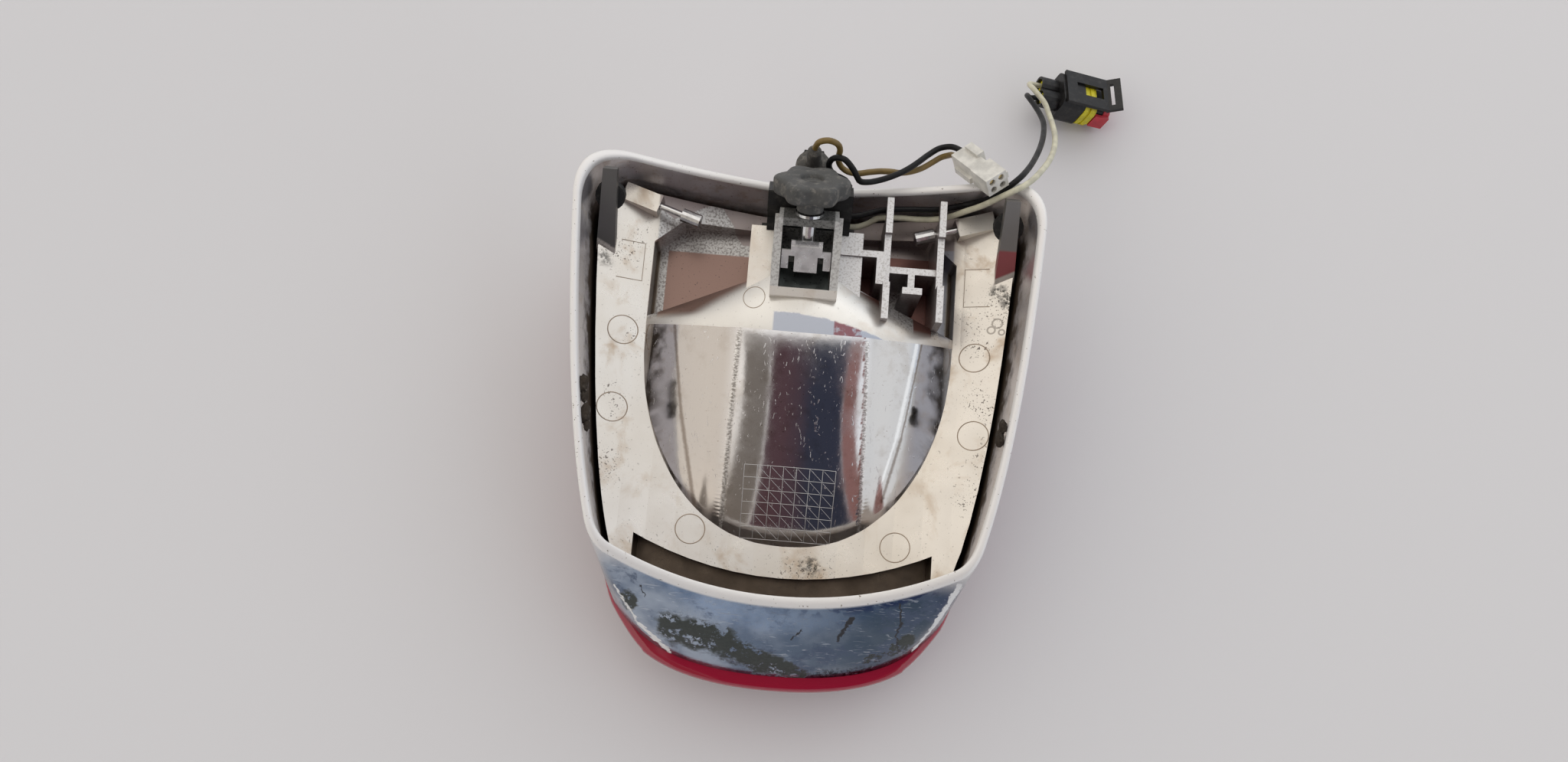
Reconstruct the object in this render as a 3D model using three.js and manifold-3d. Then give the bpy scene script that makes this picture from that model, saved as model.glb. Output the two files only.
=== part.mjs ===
// A scooter's tail light, lying on its lens with the mounting side up, as an assembly of its
// separate pieces. Millimetres. X runs across the light, Y from the hooded end to the knob end,
// Z up out of the mounting side. The origin is on the surface under the light, on its middle line.

import * as THREE from 'three';
import { mergeVertices } from 'three/addons/utils/BufferGeometryUtils.js';
import Module from 'manifold-3d';

const wasm = await Module();
wasm.setup();

// Clearances
const clearance = 0.3;
const overrun = 4;

// Trim bezel: the outlines of its upper edge and of its joint with the lens, and its valley.
// The joint lies inside the upper edge all round but at the near side, where the hood reaches out.
const rimHalfWidth = 76;
const rimLength = 139.8;
const rimNearReach = 57.3;
const rimLow = 59;
const rimRise = 19;
const bezelWall = 2.8;
const jointHeight = 32;
const jointInset = 4;
const hoodReach = 23.1;
const hoodBulge = 2;
const hoodBlendPowerShare = 1.64;
const rimControlShares = [
  [0, 0], [0.395, 0], [0.73, 0.088],
  [0.787, 0.107], [0.809, 0.152],
  [0.935, 0.4], [0.995, 0.882],
  [1.0, 1.0], [0.79, 1.002],
  [0.48, 0.996], [0, 0.979],
];
const jointControlShares = [
  [0, 0], [0.382, 0], [0.569, 0.051],
  [0.669, 0.078], [0.75, 0.125],
  [0.91, 0.254], [0.994, 0.896],
  [1, 1], [0.79, 1],
  [0.48, 0.996], [0, 0.981],
];
const segmentSteps = [7, 3, 8, 6, 5];

// Lens
const lensWall = 2.6;
const lensOverhang = 1;
const lensHoodOverhang = 4;
const lensTopInset = 1.4;
const lensLipWidth = 9;
const lensLipThickness = 2.4;
const lensLevelShares = [
  [0.34, 0], [0.55, 0.035], [0.74, 0.13], [0.89, 0.32], [0.97, 0.58], [1, 0.86],
];
const gasketThickness = 1;
const gasketWidth = 4;

// Reflector housing: flange, skirt and base plate
const flangeDepth = 16;
const housingWall = 2.5;
const grooveGap = 2;
const nearArcRadius = 115;
const nearArcReach = 49;
const pocketHalfWidth = 48;
const valleySteps = 18;

// Reflector dome, its fluted top edge and the shoulder behind it
const domeHalfWidth = 51;
const domeNearReach = 39;
const domeArchY = 27;
const domeArchBow = 3;
const domeArchTop = 68;
const shoulderBackY = 55;
const shoulderBackTop = 62;
const domeFlankShare = 0.7;
const domeSteps = 20;
const domeRows = 7;
const domeRoundPowerShare = 1.8;
const domeOvalPowerShare = 2.3;
const domeFallPowerShare = 2.4;
const ridgeBowPowerShare = 0.8;
const ridgeFallPowerShare = 1.6;

// Bulb box behind the dome
const bulbBoxHalfWidth = 18.5;
const bulbBoxBackY = 64;
const bulbBoxTop = 62;
const portMargin = 0.6;

// Back recess and its ribs
const recessHalfWidth = 51;
const recessFarY = 68;
const recessCornerCut = 9;
const recessFloor = 38.5;
const ribThickness = 2.2;
const ribFoot = 37.5;
const ribNearY = 34.5;
const ribStepY = 46.8;
const ribNotchY = 70.8;
const ribFarY = 76.4;
const ribLowTop = 62.6;
const ribArmBottom = 61.2;
const ribArmTop = 64.6;
const ribHighTop = 67;
const innerRibX = 26.5;
const outerRibX = 44;
const crossRibY = 52.7;
const crossRibTop = 61;
const shortRibX = 35;
const stubPlateTop = 66;
const stubPlateHalfWidth = 3.2;
const cellNearY = 47;
const cellFarY = 57;
const cellTop = 63;

// Channel for the fixing stud
const channelHalfWidth = 10.8;
const channelWall = 2.6;
const channelNearY = 39;
const channelFarY = 63;
const channelNearTop = 68;
const channelFarTop = 77.5;
const channelFloor = 64.4;
const channelFoot = 60;

// Locating prongs on the flange, with their rubber pads
const prongInset = 9.7;
const prongFootY = 52;
const prongWidth = 6.3;
const prongThickness = 4;
const prongRun = 21;
const prongRise = 22;
const prongTaperShare = 0.72;
const prongDropShare = 0.75;
const padRadius = 4.9;
const padThickness = 2.6;
const padReachShare = 0.62;

// Retaining pins at the far corners
const pinBlockLength = 13;
const pinBlockWidth = 6;
const pinBlockHeight = 4.2;
const pinBlockInset = 20;
const pinBlockNearEdge = 10.3;
const pinTurnDegrees = 18;
const pinNeckRadius = 1.1;
const pinHeadRadius = 2.3;
const pinHeadLength = 6.5;
const pinLength = 17.5;
const pinSocketDepth = 3;

// Fixing knob on its stud; the axis leans from upright towards the far side
const knobY = 70.3;
const knobZ = 84;
const knobLeanDegrees = 48.6;
const knobRadius = 11.4;
const knobLobe = 0.9;
const knobLobes = 6;
const knobThickness = 6;
const knobEdge = 1.1;
const knobRecessRadius = 3.7;
const knobRecessDepth = 1.6;
const knobSlotWidth = 1.2;
const knobSlotDepth = 1;
const hubRadius = 4.3;
const hubLength = 5;
const studRadius = 2.4;
const studLength = 17;
const studSocketDepth = 4;
const studTipShare = 0.6;
const washerRadius = 4.6;
const washerThickness = 0.9;
const seatThickness = 2.6;
const seatRim = 1.1;

// Spring clip over the stud's end
const clipThickness = 0.8;
const clipCrossLength = 2;
const clipBarHalfWidth = 5;
const clipLegWidth = 2.3;
const clipLegLength = 6.4;
const clipBarLength = 3.4;
const clipTabHalfWidth = 3.7;
const clipTabLength = 6.6;
const clipTabDrop = 2;
const clipReach = 17;

// Bulb holder, its gasket and its rubber boot
const holderHalfWidth = 13.6;
const holderNearY = 66;
const holderFarY = 73.2;
const holderBackY = 76.2;
const holderBottom = 39.4;
const holderStepBottom = 44.8;
const holderPlateThickness = 1.7;
const holderSill = 61.8;
const holderUnderKnobGap = 1.4;
const holderCapHalfWidth = 7.5;
const holderCapReach = 89.6;
const holderCapTop = 67;
const plugHalfWidth = 13.2;
const plugBottom = 41.2;
const plugTop = 58.2;
const plugReach = 59.5;
const holderGasketMargin = 1.8;
const bootY = 83.6;
const bootConeRadius = 5.8;
const bootConeHeight = 3.6;
const bootNippleRadius = 2.5;
const bootNippleLength = 7;
const bootLeanDegrees = 13;
const bootShoulderShare = 0.55;
const bootTaperShare = 0.92;
const bossX = 11.4;
const bossZ = 67.5;
const bossRadius = 1.9;
const bossLength = 2;
const holderFootHeight = 3;
const holderFootReach = 3.4;

// Bulbs and contacts
const bulbZ = 49.8;
const stopBulbX = -5;
const stopBaseRadius = 7;
const stopBaseLength = 13;
const stopGlassRadius = 8.2;
const stopGlassLength = 23;
const stopBaseFootShare = 0.55;
const stopBaseCrimpShare = 0.92;
const stopNeckShare = 0.7;
const tailBulbX = 9.4;
const tailBaseRadius = 3.4;
const tailBaseLength = 8;
const tailGlassRadius = 4.3;
const tailGlassLength = 16;
const tailNeckShare = 0.8;
const socketDepth = 6.5;
const contactThickness = 0.6;
const contactLength = 6;
const contactWidth = 2.4;

// White connector on the end of the tail pair: it leans on the far rim with its mouth raised
const tailPlugLength = 21;
const tailPlugWidth = 7.6;
const tailPlugHeight = 6.2;
const tailPlugInset = 22.5;
const tailPlugBeyond = 2.6;
const tailPlugZ = 73;
const tailPlugRiseDegrees = 35.6;
const tailPlugTurnDegrees = -52.6;
const tailPlugRib = 1.1;
const tailCollarShare = 0.42;
const tailCellShare = 0.4;
const tailTabShare = 0.34;
const tailWirePitch = 3.2;
const tailCellPitchX = 3.4;
const tailCellPitchZ = 2.9;
const tailTerminalRadius = 0.8;

// Sealed two-way black connector on the end of the stop pair: its nose lies on the surface
const sealedBeside = 8.8;
const sealedBeyond = 61.7;
const sealedZ = 13;
const sealedRollDegrees = -13.4;
const sealedRiseDegrees = -16.9;
const sealedTurnDegrees = -1.4;
const barrelRadius = 3.6;
const barrelLength = 7;
const barrelPitch = 5.6;
const barrelBoreDepth = 5;
const sealedBodyWidth = 15;
const sealedBodyHeight = 13;
const sealedBodyLength = 9.5;
const sealedBodyCorner = 3;
const sealedNoseWidth = 11.6;
const sealedNoseHeight = 7.4;
const sealedNoseLength = 9;
const sealWidth = 5.2;
const sealThickness = 1.2;
const sealRibHeight = 0.4;
const wedgeLength = 2.6;
const wedgeSkirt = 1.2;
const wedgePortRadius = 1.3;
const latchWidth = 14.4;
const latchThickness = 1.4;
const latchRailWidth = 4.6;
const latchStart = 8;
const latchEnd = 26;
const latchWindowStart = 12.4;
const latchTabLength = 5.6;
const latchTabDegrees = 36;
const latchSlotStart = 1.6;
const latchSlotWidth = 1.3;
const wireSealRadius = 2.4;
const wireSealLength = 3.4;

// Wires
const wireRadius = 1;
const wireSides = 8;
const wireEndRun = 2.4;

const looks = {
  chrome: { colour: 0xbfc4ca, roughness: 0.15, metalness: 1 },
  metallised: { colour: 0xd9d4cb, roughness: 0.25, metalness: 0.8 },
  redLens: { colour: 0xb3122a, roughness: 0.12, metalness: 0 },
  rubber: { colour: 0x1f1f20, roughness: 0.85, metalness: 0 },
  knob: { colour: 0x565856, roughness: 0.7, metalness: 0.1 },
  steel: { colour: 0xb9babb, roughness: 0.3, metalness: 1 },
  black: { colour: 0x161616, roughness: 0.5, metalness: 0 },
  boot: { colour: 0x33322f, roughness: 0.8, metalness: 0 },
  brass: { colour: 0xb49556, roughness: 0.35, metalness: 1 },
  glass: { colour: 0xe9eef0, roughness: 0.05, metalness: 0 },
  white: { colour: 0xe6e4dc, roughness: 0.5, metalness: 0 },
  yellow: { colour: 0xd9c81e, roughness: 0.6, metalness: 0 },
  red: { colour: 0xc22b33, roughness: 0.5, metalness: 0 },
  khaki: { colour: 0x8a7a3c, roughness: 0.5, metalness: 0 },
  cream: { colour: 0xc9c4a8, roughness: 0.5, metalness: 0 },
};

const tailLight = new THREE.Group();

// General shape helpers

const v3 = (x, y, z) => new THREE.Vector3(x, y, z);
const mix = THREE.MathUtils.lerp;
const radians = THREE.MathUtils.degToRad;
const range = (count) => Array.from({ length: count }, (_, i) => i);

function geometryFrom(points, faces) {
  const geometry = new THREE.BufferGeometry();
  const flat = points.flatMap((p) => [p.x, p.y, p.z]);
  geometry.setAttribute('position', new THREE.Float32BufferAttribute(flat, 3));
  let volume = 0;
  for (const [a, b, c] of faces) {
    volume += points[a].dot(points[b].clone().cross(points[c]));
  }
  geometry.setIndex(faces.flatMap(([a, b, c]) => (volume < 0 ? [a, c, b] : [a, b, c])));
  return geometry;
}

// A closed solid from loops of equally many points, first to last, with both ends capped.
function stack(loops) {
  const count = loops[0].length;
  const points = loops.flat();
  const faces = [];
  loops.slice(1).forEach((_, level) => {
    for (const i of range(count)) {
      const [a, b] = [level * count + i, level * count + ((i + 1) % count)];
      faces.push([a, b, b + count], [a, b + count, a + count]);
    }
  });
  for (const [first, flip] of [[0, true], [(loops.length - 1) * count, false]]) {
    const flat = points.slice(first, first + count).map((p) => new THREE.Vector2(p.x, p.y));
    for (const [a, b, c] of THREE.ShapeUtils.triangulateShape(flat, [])) {
      faces.push(flip ? [first + a, first + c, first + b] : [first + a, first + b, first + c]);
    }
  }
  return geometryFrom(points, faces);
}

// A ring-shaped solid whose section runs through the loops and closes on the first.
function ring(loops) {
  const count = loops[0].length;
  const points = loops.flat();
  const faces = [];
  loops.forEach((_, level) => {
    const next = (level + 1) % loops.length;
    for (const i of range(count)) {
      const [a, b] = [level * count + i, level * count + ((i + 1) % count)];
      const [c, d] = [next * count + ((i + 1) % count), next * count + i];
      faces.push([a, b, c], [a, c, d]);
    }
  });
  return geometryFrom(points, faces);
}

// A solid between two grids of points that share their rows and columns.
function patch(top, bottom) {
  const [rows, columns] = [top.length, top[0].length];
  const points = [...top.flat(), ...bottom.flat()];
  const under = rows * columns;
  const at = (r, c) => r * columns + c;
  const faces = [];
  const quad = (a, b, c, d) => faces.push([a, b, c], [a, c, d]);
  for (const r of range(rows - 1)) {
    for (const c of range(columns - 1)) {
      quad(at(r, c), at(r, c + 1), at(r + 1, c + 1), at(r + 1, c));
      quad(under + at(r, c), under + at(r + 1, c), under + at(r + 1, c + 1), under + at(r, c + 1));
    }
    quad(at(r, 0), at(r + 1, 0), under + at(r + 1, 0), under + at(r, 0));
    const last = columns - 1;
    quad(at(r + 1, last), at(r, last), under + at(r, last), under + at(r + 1, last));
  }
  for (const c of range(columns - 1)) {
    quad(at(0, c + 1), at(0, c), under + at(0, c), under + at(0, c + 1));
    const last = rows - 1;
    quad(at(last, c), at(last, c + 1), under + at(last, c + 1), under + at(last, c));
  }
  return geometryFrom(points, faces);
}

function shapeOf(points) {
  return new THREE.Shape(points.map(([x, y]) => new THREE.Vector2(x, y)));
}

// A flat outline in X and Y pulled up from one height to another.
function prism(points, bottom, top) {
  const geometry = new THREE.ExtrudeGeometry(shapeOf(points), { depth: top - bottom, bevelEnabled: false });
  return geometry.translate(0, 0, bottom);
}

// A profile given as [y, z] points, pulled across X from one side to the other.
function acrossX(points, left, right) {
  const geometry = new THREE.ExtrudeGeometry(shapeOf(points), { depth: right - left, bevelEnabled: false });
  const turned = new THREE.Matrix4().makeBasis(v3(0, 1, 0), v3(0, 0, 1), v3(1, 0, 0));
  return geometry.applyMatrix4(turned).translate(left, 0, 0);
}

// A profile given as [x, z] points, pulled along Y from the near side to the far side.
function alongY(points, near, far) {
  const geometry = new THREE.ExtrudeGeometry(shapeOf(points), { depth: far - near, bevelEnabled: false });
  const turned = new THREE.Matrix4().makeBasis(v3(1, 0, 0), v3(0, 0, 1), v3(0, -1, 0));
  return geometry.applyMatrix4(turned).translate(0, far, 0);
}

function box(x0, x1, y0, y1, z0, z1) {
  const geometry = new THREE.BoxGeometry(x1 - x0, y1 - y0, z1 - z0);
  return geometry.translate((x0 + x1) / 2, (y0 + y1) / 2, (z0 + z1) / 2);
}

// A round solid standing on Z from a profile of [radius, height] points that starts on the axis.
function turned(profile, sides) {
  const points = profile.map(([radius, height]) => new THREE.Vector2(radius, height));
  return new THREE.LatheGeometry(points, sides).rotateX(Math.PI / 2);
}

function rod(radius, bottom, top, sides) {
  return turned([[0, bottom], [radius, bottom], [radius, top], [0, top]], sides);
}

function solid(geometry) {
  const bare = geometry.clone();
  for (const name of Object.keys(bare.attributes)) {
    if (name !== 'position') bare.deleteAttribute(name);
  }
  const merged = mergeVertices(bare);
  const triVerts = new Uint32Array(merged.index.array.length);
  merged.index.array.forEach((index, i) => { triVerts[i] = index; });
  const vertProperties = new Float32Array(merged.attributes.position.array);
  return new wasm.Manifold(new wasm.Mesh({ numProp: 3, vertProperties, triVerts }));
}

function join(...pieces) {
  return pieces.map((p) => (p.isBufferGeometry ? solid(p) : p)).reduce((a, b) => a.add(b));
}

function cut(body, ...tools) {
  const first = body.isBufferGeometry ? solid(body) : body;
  return tools.map((p) => (p.isBufferGeometry ? solid(p) : p)).reduce((a, b) => a.subtract(b), first);
}

function common(...pieces) {
  return pieces.map((p) => (p.isBufferGeometry ? solid(p) : p)).reduce((a, b) => a.intersect(b));
}

function geometryOf(body) {
  const mesh = body.getMesh();
  const geometry = new THREE.BufferGeometry();
  const flat = new Float32Array(mesh.triVerts.length * 3);
  mesh.triVerts.forEach((vertex, i) => {
    for (const axis of range(3)) flat[i * 3 + axis] = mesh.vertProperties[vertex * mesh.numProp + axis];
  });
  geometry.setAttribute('position', new THREE.BufferAttribute(flat, 3));
  geometry.computeVertexNormals();
  return geometry;
}

function addPiece(name, shape, look, parent = tailLight) {
  const geometry = shape.isBufferGeometry ? shape : geometryOf(shape);
  const material = new THREE.MeshStandardMaterial({
    color: look.colour, roughness: look.roughness, metalness: look.metalness,
  });
  const mesh = new THREE.Mesh(geometry, material);
  mesh.name = name;
  parent.add(mesh);
  return mesh;
}

// Outlines

// A mirrored outline in plan, from the near middle round the right side and back on the left.
function outlineOf(controlShares, halfWidth, length, nearReach) {
  const controls = controlShares.map(([x, y]) => new THREE.Vector2(x * halfWidth, y * length - nearReach));
  const half = segmentSteps.flatMap((steps, segment) => {
    const curve = new THREE.QuadraticBezierCurve(...controls.slice(2 * segment, 2 * segment + 3));
    return range(steps).map((i) => curve.getPoint(i / steps));
  });
  const middle = controls[controls.length - 1];
  const mirrored = half.slice(1).reverse().map((p) => new THREE.Vector2(-p.x, p.y));
  return [...half, middle, ...mirrored];
}

function normalsOf(outline) {
  return outline.map((_, i) => {
    const [before, after] = [outline.at(i - 1), outline[(i + 1) % outline.length]];
    return new THREE.Vector2(after.y - before.y, before.x - after.x).normalize();
  });
}

const rim = outlineOf(rimControlShares, rimHalfWidth, rimLength, rimNearReach);
const rimNormals = normalsOf(rim);
const joint = outlineOf(
  jointControlShares, rimHalfWidth - jointInset, rimLength + hoodReach - jointInset, rimNearReach + hoodReach,
);
const jointNormals = normalsOf(joint);
// Places that keep to the bezel's sides and its far edge.
const rimFar = rimLength - rimNearReach;
const prongX = rimHalfWidth - prongInset;
const pinBlockX = rimHalfWidth - pinBlockInset;
const pinBlockY = rimFar - pinBlockNearEdge;
const tailPlugX = rimHalfWidth - tailPlugInset;
const tailPlugY = rimFar + tailPlugBeyond;
const sealedX = rimHalfWidth + sealedBeside;
const sealedY = rimFar + sealedBeyond;

// One at the middle of the hood, fading to nothing round the sides.
const hoodShares = rimNormals.map((n) => Math.max(0, -n.y) ** hoodBlendPowerShare);

function rimHeight(x) {
  return rimLow + rimRise * (x / rimHalfWidth) ** 2;
}

// A point of the bezel's outer face, from the lens joint at share 0 to the upper edge at share 1.
function bezelPoint(i, share) {
  const bulge = hoodBulge * hoodShares[i] * Math.sin(Math.PI * share);
  const p = joint[i].clone().lerp(rim[i], share).addScaledVector(rimNormals[i], bulge);
  return v3(p.x, p.y, mix(jointHeight, rimHeight(rim[i].x), share));
}

function bezelLoop(share) {
  return rim.map((_, i) => bezelPoint(i, share));
}

// The same face cut level at a height.
function bezelLevel(height) {
  return rim.map((p, i) => bezelPoint(i, (height - jointHeight) / (rimHeight(p.x) - jointHeight)));
}

// The same loop drawn in towards its middle by a distance, at its own height or another.
function shrunk(loop, distance, height) {
  const reach = Math.max(...loop.map((p) => p.x));
  const [near, far] = [Math.min(...loop.map((p) => p.y)), Math.max(...loop.map((p) => p.y))];
  const [middle, half] = [(near + far) / 2, (far - near) / 2];
  return loop.map((p) => v3(
    p.x * (1 - distance / reach),
    middle + (p.y - middle) * (1 - distance / half),
    height ?? p.z,
  ));
}

function raised(loop, height) {
  return loop.map((p) => v3(p.x, p.y, height));
}

// Trim bezel: a painted and chromed frame of one wall, flared into a hood at the near side.
function trimBezel() {
  const levels = [0, 0.25, 0.5, 0.75, 1];
  const outer = levels.map((share) => bezelLoop(share));
  const inner = outer.map((loop) => shrunk(loop, bezelWall)).reverse();
  return ring([...outer, ...inner]);
}

// Lens: a red bowl that bulges past the bezel and ends in a wide lip under the housing.
const lensTop = jointHeight - clearance;
const jointLoop = bezelLoop(0);

function lensLoop(share, height, inset) {
  const full = jointLoop.map((p, i) => {
    const reach = lensOverhang + lensHoodOverhang * hoodShares[i] - inset;
    return v3(p.x + jointNormals[i].x * reach, p.y + jointNormals[i].y * reach, height);
  });
  return full.map((p) => v3(p.x * share, p.y * share, height));
}

function lens() {
  const outer = lensLevelShares.map(([share, level]) => lensLoop(share, level * lensTop, 0));
  const bowl = stack([...outer, lensLoop(1, lensTop, lensTopInset)]);
  const ceiling = lensTop - lensLipThickness;
  const hollowLevels = lensLevelShares.filter(([, level]) => level * lensTop < ceiling - lensWall);
  const hollow = stack([
    ...hollowLevels.map(([share, level]) => shrunk(lensLoop(share, level * lensTop + lensWall, 0), lensWall)),
    shrunk(lensLoop(1, ceiling, 0), lensWall),
  ]);
  const mouth = shrunk(jointLoop, lensLipWidth);
  return cut(bowl, hollow, stack([raised(mouth, ceiling - overrun), raised(mouth, lensTop + overrun)]));
}

const plateInset = bezelWall + 2 * clearance;
const gasketBottom = lensTop + clearance;
const plateBottom = gasketBottom + gasketThickness + clearance;
const plateTop = plateBottom + housingWall;

function lensGasket() {
  const outer = shrunk(bezelLevel(gasketBottom + gasketThickness), plateInset + clearance);
  const inner = shrunk(outer, gasketWidth);
  return ring([
    raised(outer, gasketBottom), raised(outer, gasketBottom + gasketThickness),
    raised(inner, gasketBottom + gasketThickness), raised(inner, gasketBottom),
  ]);
}

// Reflector housing

function flangeHeight(x) {
  return rimHeight(x) - flangeDepth;
}

// Everything below the valley of the flange, or of its underside.
function belowFlange(drop) {
  const side = rimHalfWidth + overrun;
  const across = range(valleySteps + 1).map((i) => mix(side, -side, i / valleySteps));
  const valley = across.map((x) => [x, flangeHeight(x) - drop]);
  return alongY([[-side, 0], [side, 0], ...valley], -rimLength, rimLength);
}

// The block that the skirt and flange wrap: inside the bezel, less the pocket behind the hood.
function housingBlock(inset) {
  const shares = [0, 0.35, 0.7, 1];
  const loops = shares.map((share) => shrunk(bezelLoop(share), bezelWall + grooveGap + inset));
  const lowered = [raised(loops[0], plateBottom - inset), ...loops.slice(1)];
  const top = rimLow + rimRise + overrun;
  const arc = rod(nearArcRadius - inset, 0, top, 96).translate(0, nearArcRadius - nearArcReach, 0);
  const [side, end] = [pocketHalfWidth + inset, rimHalfWidth + overrun];
  const beside = [[-end, -side], [side, end]].map(([x0, x1]) => box(x0, x1, -rimLength, 0, 0, top));
  return common(stack(lowered), join(arc, ...beside));
}

function flangeAndSkirt() {
  const outer = common(housingBlock(0), belowFlange(0));
  return cut(outer, common(housingBlock(housingWall), belowFlange(housingWall)));
}

function basePlate() {
  const plate = stack([plateBottom, plateTop].map((height) => shrunk(bezelLevel(height), plateInset)));
  return cut(plate, housingBlock(housingWall));
}

// The dome's rows run from its foot on the flange up to the fluted edge.
function domeFoot(share) {
  const x = domeHalfWidth * share * (domeFlankShare + (1 - domeFlankShare) * share * share);
  const round = Math.sqrt(Math.max(0, 1 - Math.abs(x / domeHalfWidth) ** domeOvalPowerShare));
  return v3(x, domeArchY - (domeArchY + domeNearReach) * round, flangeHeight(x) - clearance);
}

function domeArch(share) {
  const side = Math.abs(share);
  const foot = flangeHeight(domeHalfWidth);
  return v3(
    domeHalfWidth * share,
    domeArchY + domeArchBow * side * side,
    mix(domeArchTop, foot, side ** domeFallPowerShare),
  );
}

function shoulderRidge(share) {
  const side = Math.abs(share);
  const foot = flangeHeight(domeHalfWidth);
  return v3(
    domeHalfWidth * share,
    mix(shoulderBackY, domeArchY + 2 * domeArchBow, side ** ridgeBowPowerShare),
    mix(shoulderBackTop, foot - clearance, side ** ridgeFallPowerShare),
  );
}

function drawnIn(p, wall) {
  const squeeze = 1 - wall / domeHalfWidth;
  return v3(p.x * squeeze, mix(domeArchY, p.y, squeeze), p.z - wall);
}

function crossRows(from, to, lift) {
  return range(domeRows + 1).map((row) => {
    const v = row / domeRows;
    return range(domeSteps + 1).map((column) => {
      const share = mix(-1, 1, column / domeSteps);
      const [a, b] = [from(share), to(share)];
      return v3(mix(a.x, b.x, v), mix(a.y, b.y, v), mix(a.z, b.z, lift(v)));
    });
  });
}

function domeBody(wall, bottom) {
  const rows = crossRows(domeFoot, domeArch, (v) => 1 - (1 - v) ** domeRoundPowerShare);
  const top = rows.map((row) => row.map((p) => drawnIn(p, wall)));
  return patch(top, top.map((row) => raised(row, bottom)));
}

function shoulderBody(wall, bottom) {
  const rows = crossRows(domeArch, shoulderRidge, (v) => v ** domeRoundPowerShare);
  const top = rows.map((row) => row.map((p) => drawnIn(p, wall)));
  const joined = top.map((row, i) => (i === 0 ? row.map((p) => v3(p.x, p.y - wall / 2, p.z)) : row));
  return patch(joined, joined.map((row) => raised(row, bottom)));
}

function bulbBox(wall, bottom) {
  return box(
    wall - bulbBoxHalfWidth, bulbBoxHalfWidth - wall,
    domeArchY, bulbBoxBackY - wall, bottom, bulbBoxTop - wall,
  );
}

function recessOutline(grow) {
  const [side, far] = [recessHalfWidth + grow, recessFarY + grow];
  return [
    [-side, domeArchY + domeArchBow], [side, domeArchY + domeArchBow], [side, far - recessCornerCut],
    [side - recessCornerCut, far], [recessCornerCut - side, far], [-side, far - recessCornerCut],
  ];
}

function recessTub() {
  const tub = common(prism(recessOutline(housingWall), recessFloor - housingWall, rimLow), belowFlange(0));
  return cut(tub, prism(recessOutline(0), recessFloor, rimLow + rimRise));
}

// One of the two long ribs across the recess, notched at its far end for the wires.
function longRib(x) {
  const profile = [
    [ribNearY, ribFoot], [ribNotchY - ribThickness, ribFoot], [ribNotchY, ribArmBottom],
    [ribFarY, ribArmBottom], [ribFarY, ribArmTop], [ribNotchY - 3 * ribThickness, ribArmTop],
    [ribNotchY - 3 * ribThickness, ribLowTop], [ribStepY, ribLowTop],
    [ribStepY, ribHighTop], [ribNearY, ribHighTop],
  ];
  return acrossX(profile, x - ribThickness / 2, x + ribThickness / 2);
}

function recessRibs() {
  const half = ribThickness / 2;
  const stubY = ribStepY - ribThickness;
  return join(
    longRib(innerRibX),
    longRib(outerRibX),
    box(innerRibX, outerRibX, crossRibY - half, crossRibY + half, ribFoot, crossRibTop),
    box(shortRibX - half, shortRibX + half, stubY, crossRibY, ribFoot, crossRibTop),
    box(shortRibX - stubPlateHalfWidth, shortRibX + stubPlateHalfWidth, stubY - half, stubY + half,
      ribFoot, stubPlateTop),
    box(bulbBoxHalfWidth - housingWall, innerRibX, cellFarY - half, cellFarY + half, ribFoot, cellTop),
    box(channelHalfWidth, innerRibX, cellFarY - half, cellFarY + half, channelFoot, cellTop),
    box(innerRibX - 3 * half, innerRibX, cellNearY, cellFarY, ribFoot, cellTop),
  );
}

function channelWalls() {
  const inner = channelHalfWidth - channelWall;
  const profile = [
    [channelNearY, channelFoot], [channelFarY, channelFoot],
    [channelFarY, channelFarTop], [channelNearY, channelNearTop],
  ];
  return cut(
    acrossX(profile, -channelHalfWidth, channelHalfWidth),
    box(
      -inner, inner, channelNearY + channelWall, channelFarY + overrun,
      channelFloor, channelFarTop + overrun,
    ),
  );
}

// The knob's axis leans to the far side
const lean = radians(knobLeanDegrees);

// Turns a solid that stands on Z round the origin onto the knob's axis and place.
function ontoKnobAxis(geometry) {
  return geometry.rotateX(-lean).translate(0, knobY, knobZ);
}

const hubEnd = -knobThickness / 2 - hubLength;
const washerTop = hubEnd - clearance;
const seatTop = washerTop - washerThickness - clearance;

// The slanted wall in the channel's far end that the knob pulls against.
function studSeat() {
  const side = channelHalfWidth - channelWall / 2;
  const hole = studRadius + clearance;
  const wall = cut(
    box(-side, side, -hole - seatRim, hole + 2 * seatRim, seatTop - seatThickness, seatTop),
    rod(hole, seatTop - seatThickness - overrun, seatTop + overrun, 20),
  );
  return ontoKnobAxis(geometryOf(wall));
}

// A prong: a slanted bar that rises from the flange and narrows towards its free end.
function prong(side) {
  const foot = flangeHeight(prongX) - housingWall / 2;
  const steps = [[0, 1], [1, prongTaperShare]];
  const section = ([along, width]) => {
    const [y, z] = [prongFootY + along * prongRun, foot + along * prongRise];
    const half = (prongWidth / 2) * width;
    const x = side * (prongX - along * prongThickness / 2);
    return [
      v3(x - half, y, z), v3(x + half, y, z),
      v3(x + half, y + prongThickness / 2, z - prongThickness * prongDropShare),
      v3(x - half, y + prongThickness / 2, z - prongThickness * prongDropShare),
    ];
  };
  return stackLoose(steps.map(section));
}

// A solid between two equal polygons in any plane.
function stackLoose([first, last]) {
  const count = first.length;
  const faces = [];
  for (const i of range(count)) {
    const next = (i + 1) % count;
    faces.push([i, next, count + next], [i, count + next, count + i]);
  }
  for (const i of range(count - 2)) {
    faces.push([0, i + 2, i + 1], [count, count + i + 1, count + i + 2]);
  }
  return geometryFrom([...first, ...last], faces);
}

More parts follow.
